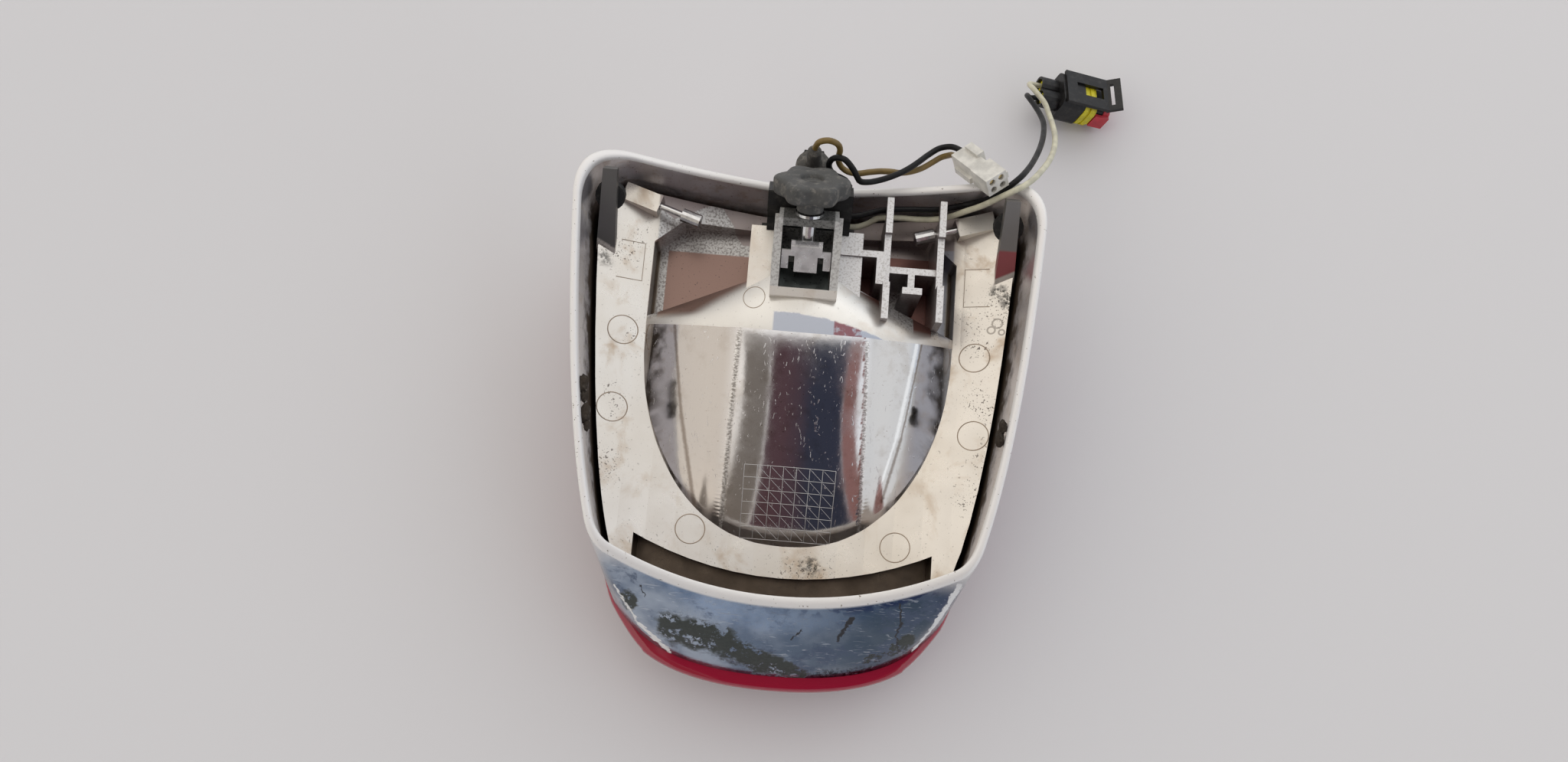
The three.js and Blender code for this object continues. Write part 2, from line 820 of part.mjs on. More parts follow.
// Puts a solid made along X, its head towards the middle, onto a far corner.
function ontoPin(geometry, side) {
  const height = flangeHeight(pinBlockX);
  if (side < 0) geometry.rotateZ(Math.PI);
  return geometry.rotateZ(side * radians(pinTurnDegrees)).translate(side * pinBlockX, pinBlockY, height);
}

function pinBlock(side) {
  const block = box(
    -pinBlockLength / 2, pinBlockLength / 2, -pinBlockWidth / 2, pinBlockWidth / 2,
    -housingWall, pinBlockHeight,
  );
  return ontoPin(block, side);
}

function reflectorHousing() {
  const shell = join(flangeAndSkirt(), basePlate());
  const opened = cut(shell, prism(recessOutline(0), recessFloor, rimLow + rimRise));
  const outside = join(
    opened, recessTub(), domeBody(0, plateBottom), shoulderBody(0, plateBottom),
    bulbBox(0, plateBottom), recessRibs(), channelWalls(), studSeat(),
    prong(-1), prong(1), pinBlock(-1), pinBlock(1),
  );
  const under = plateBottom - overrun;
  const hollow = join(
    domeBody(housingWall, under), shoulderBody(housingWall, under), bulbBox(housingWall, under),
  );
  const portSide = plugHalfWidth + portMargin;
  const port = box(
    -portSide, portSide, bulbBoxBackY - housingWall - overrun, bulbBoxBackY + overrun,
    plugBottom - portMargin, plugTop + portMargin,
  );
  const pinHoles = [-1, 1].map((side) => {
    const bore = rod(pinNeckRadius + clearance, 0, pinLength - pinHeadLength, 12).rotateY(-Math.PI / 2);
    bore.translate(pinSocketDepth - pinBlockLength / 2 + clearance, 0, pinBlockHeight / 2);
    return ontoPin(bore, side);
  });
  return cut(outside, hollow, port, ...pinHoles);
}

// Fixing knob, stud, washer and spring clip, made round the knob's axis

function lobedLoop(inset, height) {
  return range(8 * knobLobes).map((i) => {
    const angle = (i / (8 * knobLobes)) * 2 * Math.PI;
    const radius = knobRadius + knobLobe * Math.cos(knobLobes * angle) - inset;
    return v3(radius * Math.cos(angle), radius * Math.sin(angle), height);
  });
}

function fixingKnob() {
  const half = knobThickness / 2;
  const disc = stack([
    lobedLoop(knobEdge, -half), lobedLoop(0, knobEdge - half), lobedLoop(0, half - knobEdge),
    lobedLoop(knobEdge, half),
  ]);
  const slotSide = knobRecessRadius - knobEdge;
  const floor = half - knobRecessDepth;
  const body = cut(
    join(disc, rod(hubRadius, hubEnd, 0, 24)),
    rod(knobRecessRadius, floor, half + overrun, 24),
    box(-slotSide, slotSide, -knobSlotWidth / 2, knobSlotWidth / 2, floor - knobSlotDepth, half + overrun),
    rod(studRadius + clearance, hubEnd - overrun, hubEnd + studSocketDepth, 16),
  );
  return ontoKnobAxis(geometryOf(body));
}

function knobStud() {
  const top = hubEnd + studSocketDepth - clearance;
  const end = hubEnd - studLength;
  const tip = studRadius * studTipShare;
  return ontoKnobAxis(turned([
    [0, end], [tip, end], [studRadius, end + studRadius - tip], [studRadius, top], [0, top],
  ], 16));
}

function studWasher() {
  const bore = studRadius + clearance;
  return ontoKnobAxis(turned([
    [bore, washerTop - washerThickness], [washerRadius, washerTop - washerThickness],
    [washerRadius, washerTop], [bore, washerTop], [bore, washerTop - washerThickness],
  ], 24));
}

// A bent steel clip that bridges the stud: bar, crosspiece, two legs and a tongue.
function springClip() {
  const low = -studRadius - clearance;
  const high = low - clipThickness;
  const inner = channelHalfWidth - channelWall - clearance;
  const cross = -clipReach - clipBarLength;
  const legEnd = cross - clipLegLength;
  const tabEnd = cross - clipTabLength;
  const sheet = (x0, x1, z0, z1, lift) => box(x0, x1, high - lift, low - lift, z0, z1);
  const body = join(
    sheet(-inner, inner, cross - clipCrossLength, cross, 0),
    sheet(-inner, clipLegWidth - inner, legEnd, cross, 0),
    sheet(inner - clipLegWidth, inner, legEnd, cross, 0),
    sheet(-clipTabHalfWidth, clipTabHalfWidth, tabEnd, cross, 0),
    sheet(-clipBarHalfWidth, clipBarHalfWidth, cross - clipThickness, -clipReach, clipThickness / 2),
    sheet(-clipBarHalfWidth, clipBarHalfWidth, cross, -clipReach - clipBarLength / 2, clipThickness),
    box(-clipTabHalfWidth, clipTabHalfWidth, high, low + clipTabDrop, tabEnd - clipThickness, tabEnd),
  );
  return ontoKnobAxis(geometryOf(body));
}

// Bulb holder with its cap over the far edge, plug through the port and two lamp sockets

// A point of the knob's section, a distance down its axis and a distance out to the far side.
function underKnob(down, out) {
  return [
    knobY - down * Math.sin(lean) + out * Math.cos(lean),
    knobZ - down * Math.cos(lean) - out * Math.sin(lean),
  ];
}

function bulbHolder() {
  const down = knobThickness / 2 + holderUnderKnobGap;
  const outAtBack = (holderBackY - knobY + down * Math.sin(lean)) / Math.cos(lean);
  const hubSide = hubRadius + holderUnderKnobGap;
  const lowCorner = underKnob(down + hubLength, hubSide);
  const body = [
    [holderNearY, holderBottom], [holderNearY + holderPlateThickness, holderBottom],
    [holderNearY + holderPlateThickness, holderStepBottom], [holderFarY, holderStepBottom],
    [holderFarY, holderSill], [holderBackY, holderSill],
    underKnob(down, outAtBack), underKnob(down, hubSide), lowCorner,
    [holderNearY, lowCorner[1] - holderUnderKnobGap - holderPlateThickness],
  ];
  const cap = [
    [holderFarY, holderSill], [holderCapReach, holderSill],
    [holderCapReach, holderCapTop], [holderFarY, holderCapTop],
  ];
  const footBottom = bulbBoxTop + clearance;
  const foot = [
    [holderNearY, footBottom], [holderNearY, footBottom + holderFootHeight],
    [holderNearY - holderFootReach, footBottom],
  ];
  const footInner = channelHalfWidth + clearance;
  const plug = box(
    -plugHalfWidth, plugHalfWidth, plugReach, holderNearY + holderPlateThickness, plugBottom, plugTop,
  );
  const boss = rod(bossRadius, 0, bossLength + holderPlateThickness, 12).rotateX(-Math.PI / 2)
    .translate(bossX, holderBackY - holderPlateThickness, bossZ);
  return cut(
    join(
      acrossX(body, -holderHalfWidth, holderHalfWidth),
      acrossX(cap, -holderCapHalfWidth, holderCapHalfWidth),
      acrossX(foot, footInner, holderHalfWidth),
      acrossX(foot, -holderHalfWidth, -footInner),
      plug, boss,
    ),
    socket(stopBulbX, stopBaseRadius + clearance),
    socket(tailBulbX, tailBaseRadius + clearance),
  );
}

// A round thing along Y at the height of the bulbs, from one place to a farther one.
function alongBulb(profile, x, y, sides) {
  return turned(profile, sides).rotateX(Math.PI / 2).translate(x, y, bulbZ);
}

function socket(x, radius) {
  return alongBulb([[0, -socketDepth], [radius, -socketDepth], [radius, overrun], [0, overrun]],
    x, plugReach, 20);
}

function holderGasket() {
  const [near, far] = [bulbBoxBackY + clearance, holderNearY - clearance];
  const outer = holderGasketMargin;
  const inner = plugHalfWidth + clearance;
  const [bottom, top] = [plugBottom - clearance, plugTop + clearance];
  return cut(
    box(-inner - outer, inner + outer, near, far, plugBottom - outer + clearance, plugTop + outer),
    box(-inner, inner, near - overrun, far + overrun, bottom, top),
  );
}

function holderBoot() {
  const foot = holderCapTop + clearance;
  const neck = bootNippleRadius + clearance;
  const cone = turned([
    [0, 0], [bootConeRadius, 0], [bootConeRadius, bootConeHeight / 4],
    [(bootConeRadius + neck) / 2, bootConeHeight * bootShoulderShare],
    [neck, bootConeHeight], [0, bootConeHeight],
  ], 20).translate(0, bootY, foot);
  const tip = bootNippleLength + bootConeHeight / 2;
  const nipple = turned([
    [0, 0], [bootNippleRadius, 0], [bootNippleRadius * bootTaperShare, tip - bootNippleRadius / 2],
    [bootNippleRadius / 2, tip], [0, tip],
  ], 16).rotateX(-radians(bootLeanDegrees)).translate(0, bootY, foot + bootConeHeight / 2);
  return join(cone, nipple);
}

const contactSeat = plugReach + socketDepth - clearance;

function contactStrip(x) {
  const [far, near] = [contactSeat, contactSeat - contactThickness];
  return box(
    x - contactWidth / 2, x + contactWidth / 2, near, far,
    bulbZ - contactLength / 2, bulbZ + contactLength / 2,
  );
}

const baseEnd = contactSeat - contactThickness - clearance;

function stopBulbBase() {
  const rim1 = stopBaseLength - stopBaseRadius / 3;
  return alongBulb([
    [0, 0], [stopBaseRadius * stopBaseFootShare, 0], [stopBaseRadius, stopBaseRadius / 3],
    [stopBaseRadius, rim1],
    [stopBaseRadius * stopBaseCrimpShare, stopBaseLength], [0, stopBaseLength],
  ], stopBulbX, baseEnd, 20);
}

function stopBulbGlass() {
  const neck = stopBaseRadius * stopNeckShare;
  const middle = stopGlassLength - stopGlassRadius;
  const dome = range(5).map((i) => {
    const angle = (i / 4) * (Math.PI / 2);
    return [stopGlassRadius * Math.cos(angle), middle + stopGlassRadius * Math.sin(angle)];
  });
  dome[4][0] = 0;
  return alongBulb([[0, 0], [neck, 0], [neck, neck / 2], [stopGlassRadius, neck + neck / 2], ...dome],
    stopBulbX, baseEnd - stopBaseLength - clearance, 20);
}

function tailBulbBase() {
  return alongBulb([
    [0, 0], [tailBaseRadius, 0], [tailBaseRadius, tailBaseLength], [0, tailBaseLength],
  ], tailBulbX, baseEnd, 16);
}

function tailBulbGlass() {
  const middle = tailGlassLength - tailGlassRadius;
  const dome = range(4).map((i) => {
    const angle = (i / 3) * (Math.PI / 2);
    return [tailGlassRadius * Math.cos(angle), middle + tailGlassRadius * Math.sin(angle)];
  });
  dome[3][0] = 0;
  const profile = [[0, 0], [tailGlassRadius * tailNeckShare, 0], [tailGlassRadius, tailGlassRadius], ...dome];
  return alongBulb(profile, tailBulbX, baseEnd - tailBaseLength - clearance, 16);
}

// Pads under the prongs and pins in the far corner blocks

function rubberPad(side) {
  const angle = Math.atan2(prongRise, prongRun);
  const foot = flangeHeight(prongX) - housingWall / 2;
  const along = padReachShare;
  const [y, z] = [prongFootY + along * prongRun, foot + along * prongRise];
  const drop = prongThickness * (prongDropShare * Math.cos(angle) + Math.sin(angle) / 2);
  const pad = rod(padRadius, -padThickness - clearance - drop, -clearance - drop, 20);
  return pad.rotateX(angle).translate(side * (prongX - along * prongThickness / 2), y, z);
}

function retainingPin(side) {
  const start = pinSocketDepth - pinBlockLength / 2;
  const reach = pinLength - pinHeadLength;
  const pin = turned([
    [0, 0], [pinNeckRadius, 0], [pinNeckRadius, reach], [pinHeadRadius, reach],
    [pinHeadRadius, pinLength], [0, pinLength],
  ], 14).rotateY(-Math.PI / 2).translate(start, 0, pinBlockHeight / 2);
  return ontoPin(pin, side);
}

// How a connector lies: rolled about its own length, its mouth raised, then turned in plan
function lying(roll, rise, turn, place) {
  const turns = new THREE.Euler(radians(roll), radians(-rise), radians(turn), 'ZYX');
  return new THREE.Matrix4().makeRotationFromEuler(turns).setPosition(place);
}

const tailPlugPose = lying(
  0, tailPlugRiseDegrees, tailPlugTurnDegrees, v3(tailPlugX, tailPlugY, tailPlugZ),
);
const sealedPose = lying(
  sealedRollDegrees, sealedRiseDegrees, sealedTurnDegrees, v3(sealedX, sealedY, sealedZ),
);

// Tail pair's connector: a white housing with four cells, two of them with terminals
function tailConnector() {
  const [l, w, h] = [tailPlugLength / 2, tailPlugWidth / 2, tailPlugHeight / 2];
  const collar = tailPlugLength * tailCollarShare;
  const depth = tailPlugLength * tailCellShare;
  const tab = tailPlugLength * tailTabShare;
  const rib = tailPlugRib;
  const cell = tailTerminalRadius + clearance;
  const cells = [-1, 1].flatMap((side) => [-1, 1].map((level) => rod(cell, 0, depth + overrun, 12)
    .rotateY(Math.PI / 2).translate(l - depth, side * tailCellPitchX / 2, level * tailCellPitchZ / 2)));
  const body = cut(
    join(
      box(-l, l - collar, rib / 2 - w, w - rib, -h, h - rib / 2),
      box(l - collar, l, -w, w, -h, h),
      box(rib - l, rib - l + tab, w - 2 * rib, w + rib / 2, -h / 2, h + rib / 2),
      box(2 * rib - l, l - collar - rib, -w - rib / 2, rib - w, -h, -h / 3),
      box(l - collar, l - rib, w - rib, w + rib, -h / 3, h / 3),
    ),
    ...cells,
  );
  return geometryOf(body).applyMatrix4(tailPlugPose);
}

function tailTerminal(side) {
  const depth = tailPlugLength * tailCellShare;
  const pin = rod(tailTerminalRadius, 0, depth - tailPlugRib, 10).rotateY(Math.PI / 2);
  pin.translate(tailPlugLength / 2 - depth + clearance, side * tailCellPitchX / 2, tailCellPitchZ / 2);
  return pin.applyMatrix4(tailPlugPose);
}

// Stop pair's connector: black housing with barrels, ring seal, wedge lock and a latch frame

function roundedBlock(x0, x1, width, height, corner) {
  const [w, h] = [width / 2, height / 2];
  const outline = new THREE.Shape();
  outline.absarc(w - corner, h - corner, corner, 0, Math.PI / 2);
  outline.absarc(corner - w, h - corner, corner, Math.PI / 2, Math.PI);
  outline.absarc(corner - w, corner - h, corner, Math.PI, 1.5 * Math.PI);
  outline.absarc(w - corner, corner - h, corner, 1.5 * Math.PI, 2 * Math.PI);
  const block = new THREE.ExtrudeGeometry(outline, { depth: x1 - x0, bevelEnabled: false, curveSegments: 4 });
  const turn = new THREE.Matrix4().makeBasis(v3(0, 1, 0), v3(0, 0, 1), v3(1, 0, 0));
  return block.applyMatrix4(turn).translate(x0, 0, 0);
}

const noseStart = barrelLength + sealedBodyLength;
const noseEnd = noseStart + sealedNoseLength;

// The latch: a frame with a window over the nose, and a slotted tab that turns up at its end.
function latchFrame() {
  const w = latchWidth / 2;
  const reach = latchEnd - latchStart;
  const frame = geometryOf(cut(
    box(0, reach, -w, w, 0, latchThickness),
    box(latchWindowStart - latchStart, reach - latchRailWidth / 2, latchRailWidth - w, w - latchRailWidth,
      -overrun, overrun),
  ));
  const tab = geometryOf(cut(
    box(-latchThickness / 2, latchTabLength, -w, w, 0, latchThickness),
    box(latchSlotStart, latchSlotStart + latchSlotWidth, latchRailWidth / 2 - w, w - latchRailWidth / 2,
      -overrun, overrun),
  ));
  tab.rotateY(-radians(latchTabDegrees)).translate(reach, 0, 0);
  return join(frame, tab).translate([latchStart, 0, sealedBodyHeight / 2 - latchThickness / 3]);
}

function sealedConnector() {
  const across = [-barrelPitch / 2, barrelPitch / 2];
  const barrels = across.map((y) => rod(barrelRadius, 0, barrelLength + clearance, 16).rotateY(Math.PI / 2)
    .translate(0, y, 0));
  const bores = across.map((y) => rod(wireSealRadius + clearance, -overrun, barrelBoreDepth, 16)
    .rotateY(Math.PI / 2).translate(0, y, 0));
  const body = cut(
    join(
      ...barrels,
      roundedBlock(barrelLength, noseStart, sealedBodyWidth, sealedBodyHeight, sealedBodyCorner),
      roundedBlock(noseStart - clearance, noseEnd, sealedNoseWidth, sealedNoseHeight, sealedBodyCorner / 2),
      latchFrame(),
    ),
    ...bores,
  );
  return geometryOf(body).applyMatrix4(sealedPose);
}

// The ring seal, with two ribs round it.
function connectorSeal() {
  const [x0, x1] = [noseStart + clearance, noseStart + clearance + sealWidth];
  const gap = 2 * clearance;
  const hole = roundedBlock(x0 - overrun, x1 + overrun, sealedNoseWidth + gap, sealedNoseHeight + gap,
    sealedBodyCorner / 2);
  const ringOf = (from, to, grow) => roundedBlock(
    mix(x0, x1, from), mix(x0, x1, to), sealedNoseWidth + grow, sealedNoseHeight + grow, sealedBodyCorner,
  );
  const grow = gap + 2 * sealThickness;
  const ribs = [[0, 0.3], [0.5, 0.8]].map(([from, to]) => ringOf(from, to, grow + 2 * sealRibHeight));
  return geometryOf(cut(join(ringOf(0, 1, grow), ...ribs), hole)).applyMatrix4(sealedPose);
}

// The wedge lock: a plate over the nose's mouth with a skirt along one side.
function connectorWedge() {
  const [x0, x1] = [noseEnd + clearance, noseEnd + clearance + wedgeLength];
  const ports = [-1, 1].map((side) => rod(wedgePortRadius, x0 - overrun, x1 + overrun, 12)
    .rotateY(Math.PI / 2).translate(0, side * barrelPitch / 2, 0));
  const side = sealedNoseWidth / 2 + clearance;
  const skirtStart = noseEnd - sealedNoseLength + sealWidth + 3 * clearance;
  const [low, high] = [-sealedNoseHeight / 2, sealedNoseHeight / 3];
  const skirt = box(skirtStart, x1, -side - wedgeSkirt, -side, low, high);
  const link = box(x0, x1, -side - wedgeSkirt / 2, -side + wedgeSkirt, low, high);
  const plate = roundedBlock(x0, x1, sealedNoseWidth, sealedNoseHeight, sealedBodyCorner / 2);
  const body = cut(join(plate, link, skirt), ...ports);
  return geometryOf(body).applyMatrix4(sealedPose);
}

function wireSeal(side) {
  const bore = wireRadius + clearance;
  const ringProfile = [
    [bore, 0], [wireSealRadius, 0], [wireSealRadius, wireSealLength], [bore, wireSealLength], [bore, 0],
  ];
  return turned(ringProfile, 12).rotateY(Math.PI / 2)
    .translate(barrelBoreDepth - wireSealLength - clearance, side * barrelPitch / 2, 0)
    .applyMatrix4(sealedPose);
}

// Wires, as routes of points from the holder to the connectors

// The last two points of a wire, straight into a connector.
function wireInto(pose, side, pitch, end, run) {
  return [run, 0].map((back) => v3(end - back, side * pitch / 2, 0).applyMatrix4(pose));
}

const bootAxis = v3(0, Math.sin(radians(bootLeanDegrees)), Math.cos(radians(bootLeanDegrees)));
const bootTip = v3(0, bootY, holderCapTop + clearance + bootConeHeight / 2)
  .addScaledVector(bootAxis, bootNippleLength + bootConeHeight / 2 + clearance);
const bossTip = v3(bossX, holderBackY + bossLength + clearance, bossZ);
const holderSide = holderHalfWidth + clearance;
const plugRear = -tailPlugLength / 2 - clearance;
const boreEnd = barrelBoreDepth - clearance;
const sealRun = wireSealLength + 4 * clearance;

const places = (list) => list.map(([x, y, z]) => v3(x, y, z));
// Places counted from the bezel's far right corner, which the long wires hang over.
const fromCorner = (list) => list.map(([x, y, z]) => v3(rimHalfWidth + x, rimFar + y, z));
const fromHolder = (y, z) => [v3(holderSide, y, z), v3(holderSide + wireEndRun, y + clearance, z)];

const khakiRoute = [
  bootTip,
  ...places([
    [1.2, 86.4, 81.3], [4, 86.7, 82.4], [6.8, 86.4, 81.3], [8, 85.8, 78.6], [7.9, 84.9, 75.2],
    [8.1, 84.3, 71.9], [9.3, 83.6, 69.1], [11.5, 83, 67.3], [14.6, 82.9, 66.6], [18.6, 83.8, 66.4],
    [22.2, 84.5, 66.2], [25.5, 84.9, 65.6],
  ]),
  ...fromCorner([
    [-47.1, 2.7, 64.6], [-43.4, 4, 63.2], [-39.7, 6.2, 61.6], [-36.4, 8.8, 60.7], [-33.6, 10.7, 61.1],
    [-31.5, 10.8, 63.1],
  ]),
  ...wireInto(tailPlugPose, -1, tailWirePitch, plugRear, wireEndRun),
];
const blackLoopRoute = [
  bossTip,
  ...places([
    [11.1, 79.6, 67.6], [9.6, 80.3, 68], [7.4, 80.8, 68.9], [5.5, 81.5, 71.4], [5, 82.3, 74.3],
    [5.9, 82.8, 77.3], [7.8, 82.5, 79.4], [9.8, 81.5, 80.5], [11.5, 80.1, 80], [13, 78.7, 78.8],
    [14.2, 77.7, 76.5], [15.4, 77.4, 73.8], [18.6, 78.6, 70.8], [22.9, 80.3, 69.8],
  ]),
  ...fromCorner([
    [-48.2, 0.4, 69], [-44.6, 3.3, 67.4], [-41.3, 6.7, 65.4], [-37.9, 10.6, 62.9], [-34.2, 13.6, 62],
    [-30.6, 14.1, 62.9],
  ]),
  ...wireInto(tailPlugPose, 1, tailWirePitch, plugRear, wireEndRun),
];
const blackLongRoute = [
  ...fromHolder(70.6, 59.5),
  ...places([
    [19.7, 72.1, 59.5], [24, 73.6, 59.1], [30.5, 74.6, 58.9], [37, 75.1, 59], [42.5, 75.5, 59.2],
  ]),
  ...fromCorner([
    [-28.9, -5.9, 59.2], [-24.3, -4.8, 59.7], [-20.4, -4.5, 62.7], [-18.2, -5.1, 67.7],
    [-15.7, -4.7, 72.4], [-13.3, -3.6, 74.9], [-9.9, -0.5, 75.4], [-5.8, 5.7, 69.5], [-2, 13.1, 61.8],
    [1.6, 21.7, 52.8], [4.2, 29.9, 44.4], [5.7, 38, 36.5], [5.4, 44.4, 30.5], [4.1, 49.9, 26.1],
    [2.9, 54.1, 22.6], [3, 56.8, 18.9], [5.2, 57.8, 15.1],
  ]),
  ...wireInto(sealedPose, -1, barrelPitch, boreEnd, sealRun),
];
const creamRoute = [
  ...fromHolder(68.2, 55.4),
  ...places([
    [19.8, 69.8, 55.8], [23.2, 71.8, 56.3], [30, 72.6, 56.2], [36.5, 72.6, 56.2], [42.5, 73, 56.7],
  ]),
  ...fromCorner([
    [-29, -8.8, 58.4], [-24.6, -7.9, 62], [-20.2, -7.7, 67.6], [-16.2, -7.1, 73.5], [-12.1, -5.7, 77.1],
    [-8.9, -3.8, 77.3], [-4.9, 0.4, 74], [-1.1, 6, 68.4], [3, 13.2, 60.9], [6.3, 21.3, 52.3],
    [8.3, 29.2, 44.2], [9.1, 37.1, 36.6], [9, 44.6, 30], [8.4, 51.7, 24.5], [5.4, 57.7, 21.4],
    [4.6, 63.4, 15.2],
  ]),
  ...wireInto(sealedPose, 1, barrelPitch, boreEnd, sealRun),
];

function wire(route, steps) {
  const section = range(wireSides).map((i) => {
    const angle = (i / wireSides) * 2 * Math.PI;
    return [wireRadius * Math.cos(angle), wireRadius * Math.sin(angle)];
  });
  const extrudePath = new THREE.CatmullRomCurve3(route, false, 'centripetal');
  return new THREE.ExtrudeGeometry(shapeOf(section), { steps, extrudePath, bevelEnabled: false });
}

addPiece('trim_bezel', trimBezel(), looks.chrome);
addPiece('lens', lens(), looks.redLens);
addPiece('lens_gasket', lensGasket(), looks.rubber);
addPiece('reflector_housing', reflectorHousing(), looks.metallised);
addPiece('fixing_knob', fixingKnob(), looks.knob);
addPiece('knob_stud', knobStud(), looks.steel);
addPiece('stud_washer', studWasher(), looks.steel);
addPiece('spring_clip', springClip(), looks.steel);
addPiece('bulb_holder', bulbHolder(), looks.black);
addPiece('holder_gasket', holderGasket(), looks.rubber);
addPiece('holder_boot', holderBoot(), looks.boot);
addPiece('stop_contact', contactStrip(stopBulbX), looks.brass);
addPiece('tail_contact', contactStrip(tailBulbX), looks.brass);
addPiece('stop_bulb_base', stopBulbBase(), looks.brass);
addPiece('stop_bulb_glass', stopBulbGlass(), looks.glass);
addPiece('tail_bulb_base', tailBulbBase(), looks.black);
addPiece('tail_bulb_glass', tailBulbGlass(), looks.glass);
for (const [name, side] of [['left', -1], ['right', 1]]) {
  addPiece(`rubber_pad_${name}`, rubberPad(side), looks.rubber);
  addPiece(`retaining_pin_${name}`, retainingPin(side), looks.steel);
}
addPiece('tail_connector', tailConnector(), looks.white);
addPiece('tail_terminal_a', tailTerminal(-1), looks.brass);
addPiece('tail_terminal_b', tailTerminal(1), looks.brass);
addPiece('stop_connector', sealedConnector(), looks.black);
addPiece('connector_seal', connectorSeal(), looks.yellow);
addPiece('connector_wedge', connectorWedge(), looks.red);
addPiece('wire_seal_a', wireSeal(-1), looks.yellow);
addPiece('wire_seal_b', wireSeal(1), looks.yellow);

addPiece('wire_khaki', wire(khakiRoute, 13), looks.khaki);
addPiece('wire_black_loop', wire(blackLoopRoute, 18), looks.black);
addPiece('wire_black_long', wire(blackLongRoute, 25), looks.black);
addPiece('wire_cream', wire(creamRoute, 25), looks.cream);

export default tailLight;
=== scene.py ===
# Looks for a scooter's tail light that lies on its lens: materials, fine pieces, cords and camera.
# Sizes are written in millimetres and turned into metres where meshes are made.
import math
from functools import reduce

import bpy
from mathutils import Euler, Matrix, Vector, noise


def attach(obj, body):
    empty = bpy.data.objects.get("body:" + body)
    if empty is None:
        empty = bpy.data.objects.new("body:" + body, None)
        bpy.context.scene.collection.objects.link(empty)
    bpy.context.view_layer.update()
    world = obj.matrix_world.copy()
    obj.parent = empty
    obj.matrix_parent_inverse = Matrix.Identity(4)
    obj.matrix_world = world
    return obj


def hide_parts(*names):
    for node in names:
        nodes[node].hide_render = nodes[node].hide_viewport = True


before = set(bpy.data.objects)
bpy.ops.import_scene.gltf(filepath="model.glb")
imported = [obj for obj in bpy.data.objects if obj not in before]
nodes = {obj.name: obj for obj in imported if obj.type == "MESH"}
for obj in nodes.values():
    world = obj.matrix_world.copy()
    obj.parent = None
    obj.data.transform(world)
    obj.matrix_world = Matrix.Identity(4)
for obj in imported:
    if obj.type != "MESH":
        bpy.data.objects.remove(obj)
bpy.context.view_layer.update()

scene = bpy.context.scene
MM = 0.001

# Shared sizes, in millimetres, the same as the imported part's
RIM_HALF_WIDTH, RIM_LENGTH, RIM_NEAR = 76, 139.8, 57.3
RIM_LOW, RIM_RISE = 59, 19
BEZEL_WALL, JOINT_HEIGHT = 2.8, 32
JOINT_INSET, HOOD_REACH, HOOD_BULGE, HOOD_POWER = 4, 23.1, 2, 1.64
RIM_CONTROLS = [
    (0, 0), (0.395, 0), (0.73, 0.088), (0.787, 0.107), (0.809, 0.152), (0.935, 0.4), (0.995, 0.882),
    (1.0, 1.0), (0.79, 1.002), (0.48, 0.996), (0, 0.979),
]
JOINT_CONTROLS = [
    (0, 0), (0.382, 0), (0.569, 0.051), (0.669, 0.078), (0.75, 0.125), (0.91, 0.254), (0.994, 0.896),
    (1, 1), (0.79, 1), (0.48, 0.996), (0, 0.981),
]
LENS_TOP, LENS_OVERHANG, LENS_HOOD_OVERHANG, LENS_TOP_INSET = 31.7, 1, 4, 1.4
LENS_WALL, LENS_LIP_WIDTH, LENS_LIP_THICKNESS = 2.6, 9, 2.4
LENS_LEVELS = [(0.34, 0), (0.55, 0.035), (0.74, 0.13), (0.89, 0.32), (0.97, 0.58), (1, 0.86)]
FLANGE_DEPTH = 16
DOME_HALF_WIDTH, DOME_NEAR, ARCH_Y, ARCH_BOW, ARCH_TOP = 51, 39, 27, 3, 68
RIDGE_Y, RIDGE_TOP = 55, 62
FLANK_SHARE, ROUND_POWER, OVAL_POWER, FALL_POWER = 0.7, 1.8, 2.3, 2.4
RIDGE_BOW_POWER, RIDGE_FALL_POWER = 0.8, 1.6
WIRE_RADIUS = 1.0


def mix(a, b, share):
    return a + (b - a) * share


def bent(a, b, c, t):
    """A place on the curve from a to c that is drawn towards b."""
    return a * (1 - t) ** 2 + b * (2 * t * (1 - t)) + c * t * t


def along(points, per_span=8):
    """Points on a smooth curve through given ones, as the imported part's wires run."""
    points = [Vector(p) for p in points]
    ends = [2 * points[0] - points[1], *points, 2 * points[-1] - points[-2]]
    route = []
    for p0, p1, p2, p3 in zip(ends, ends[1:], ends[2:], ends[3:]):
        gaps = [max((b - a).length, 1e-4) ** 0.5 for a, b in ((p0, p1), (p1, p2), (p2, p3))]
        t1 = (p1 - p0) / gaps[0] - (p2 - p0) / (gaps[0] + gaps[1]) + (p2 - p1) / gaps[1]
        t2 = (p2 - p1) / gaps[1] - (p3 - p1) / (gaps[1] + gaps[2]) + (p3 - p2) / gaps[2]
        t1, t2 = t1 * gaps[1], t2 * gaps[1]
        for step in range(per_span):
            t = step / per_span
            a = 2 * t ** 3 - 3 * t ** 2 + 1
            b = t ** 3 - 2 * t ** 2 + t
            c = -2 * t ** 3 + 3 * t ** 2
            d = t ** 3 - t ** 2
            route.append(a * p1 + b * t1 + c * p2 + d * t2)
    return [*route, points[-1]]


def rim_height(x):
    return RIM_LOW + RIM_RISE * (x / RIM_HALF_WIDTH) ** 2


def flange_height(x):
    return rim_height(x) - FLANGE_DEPTH


# Materials

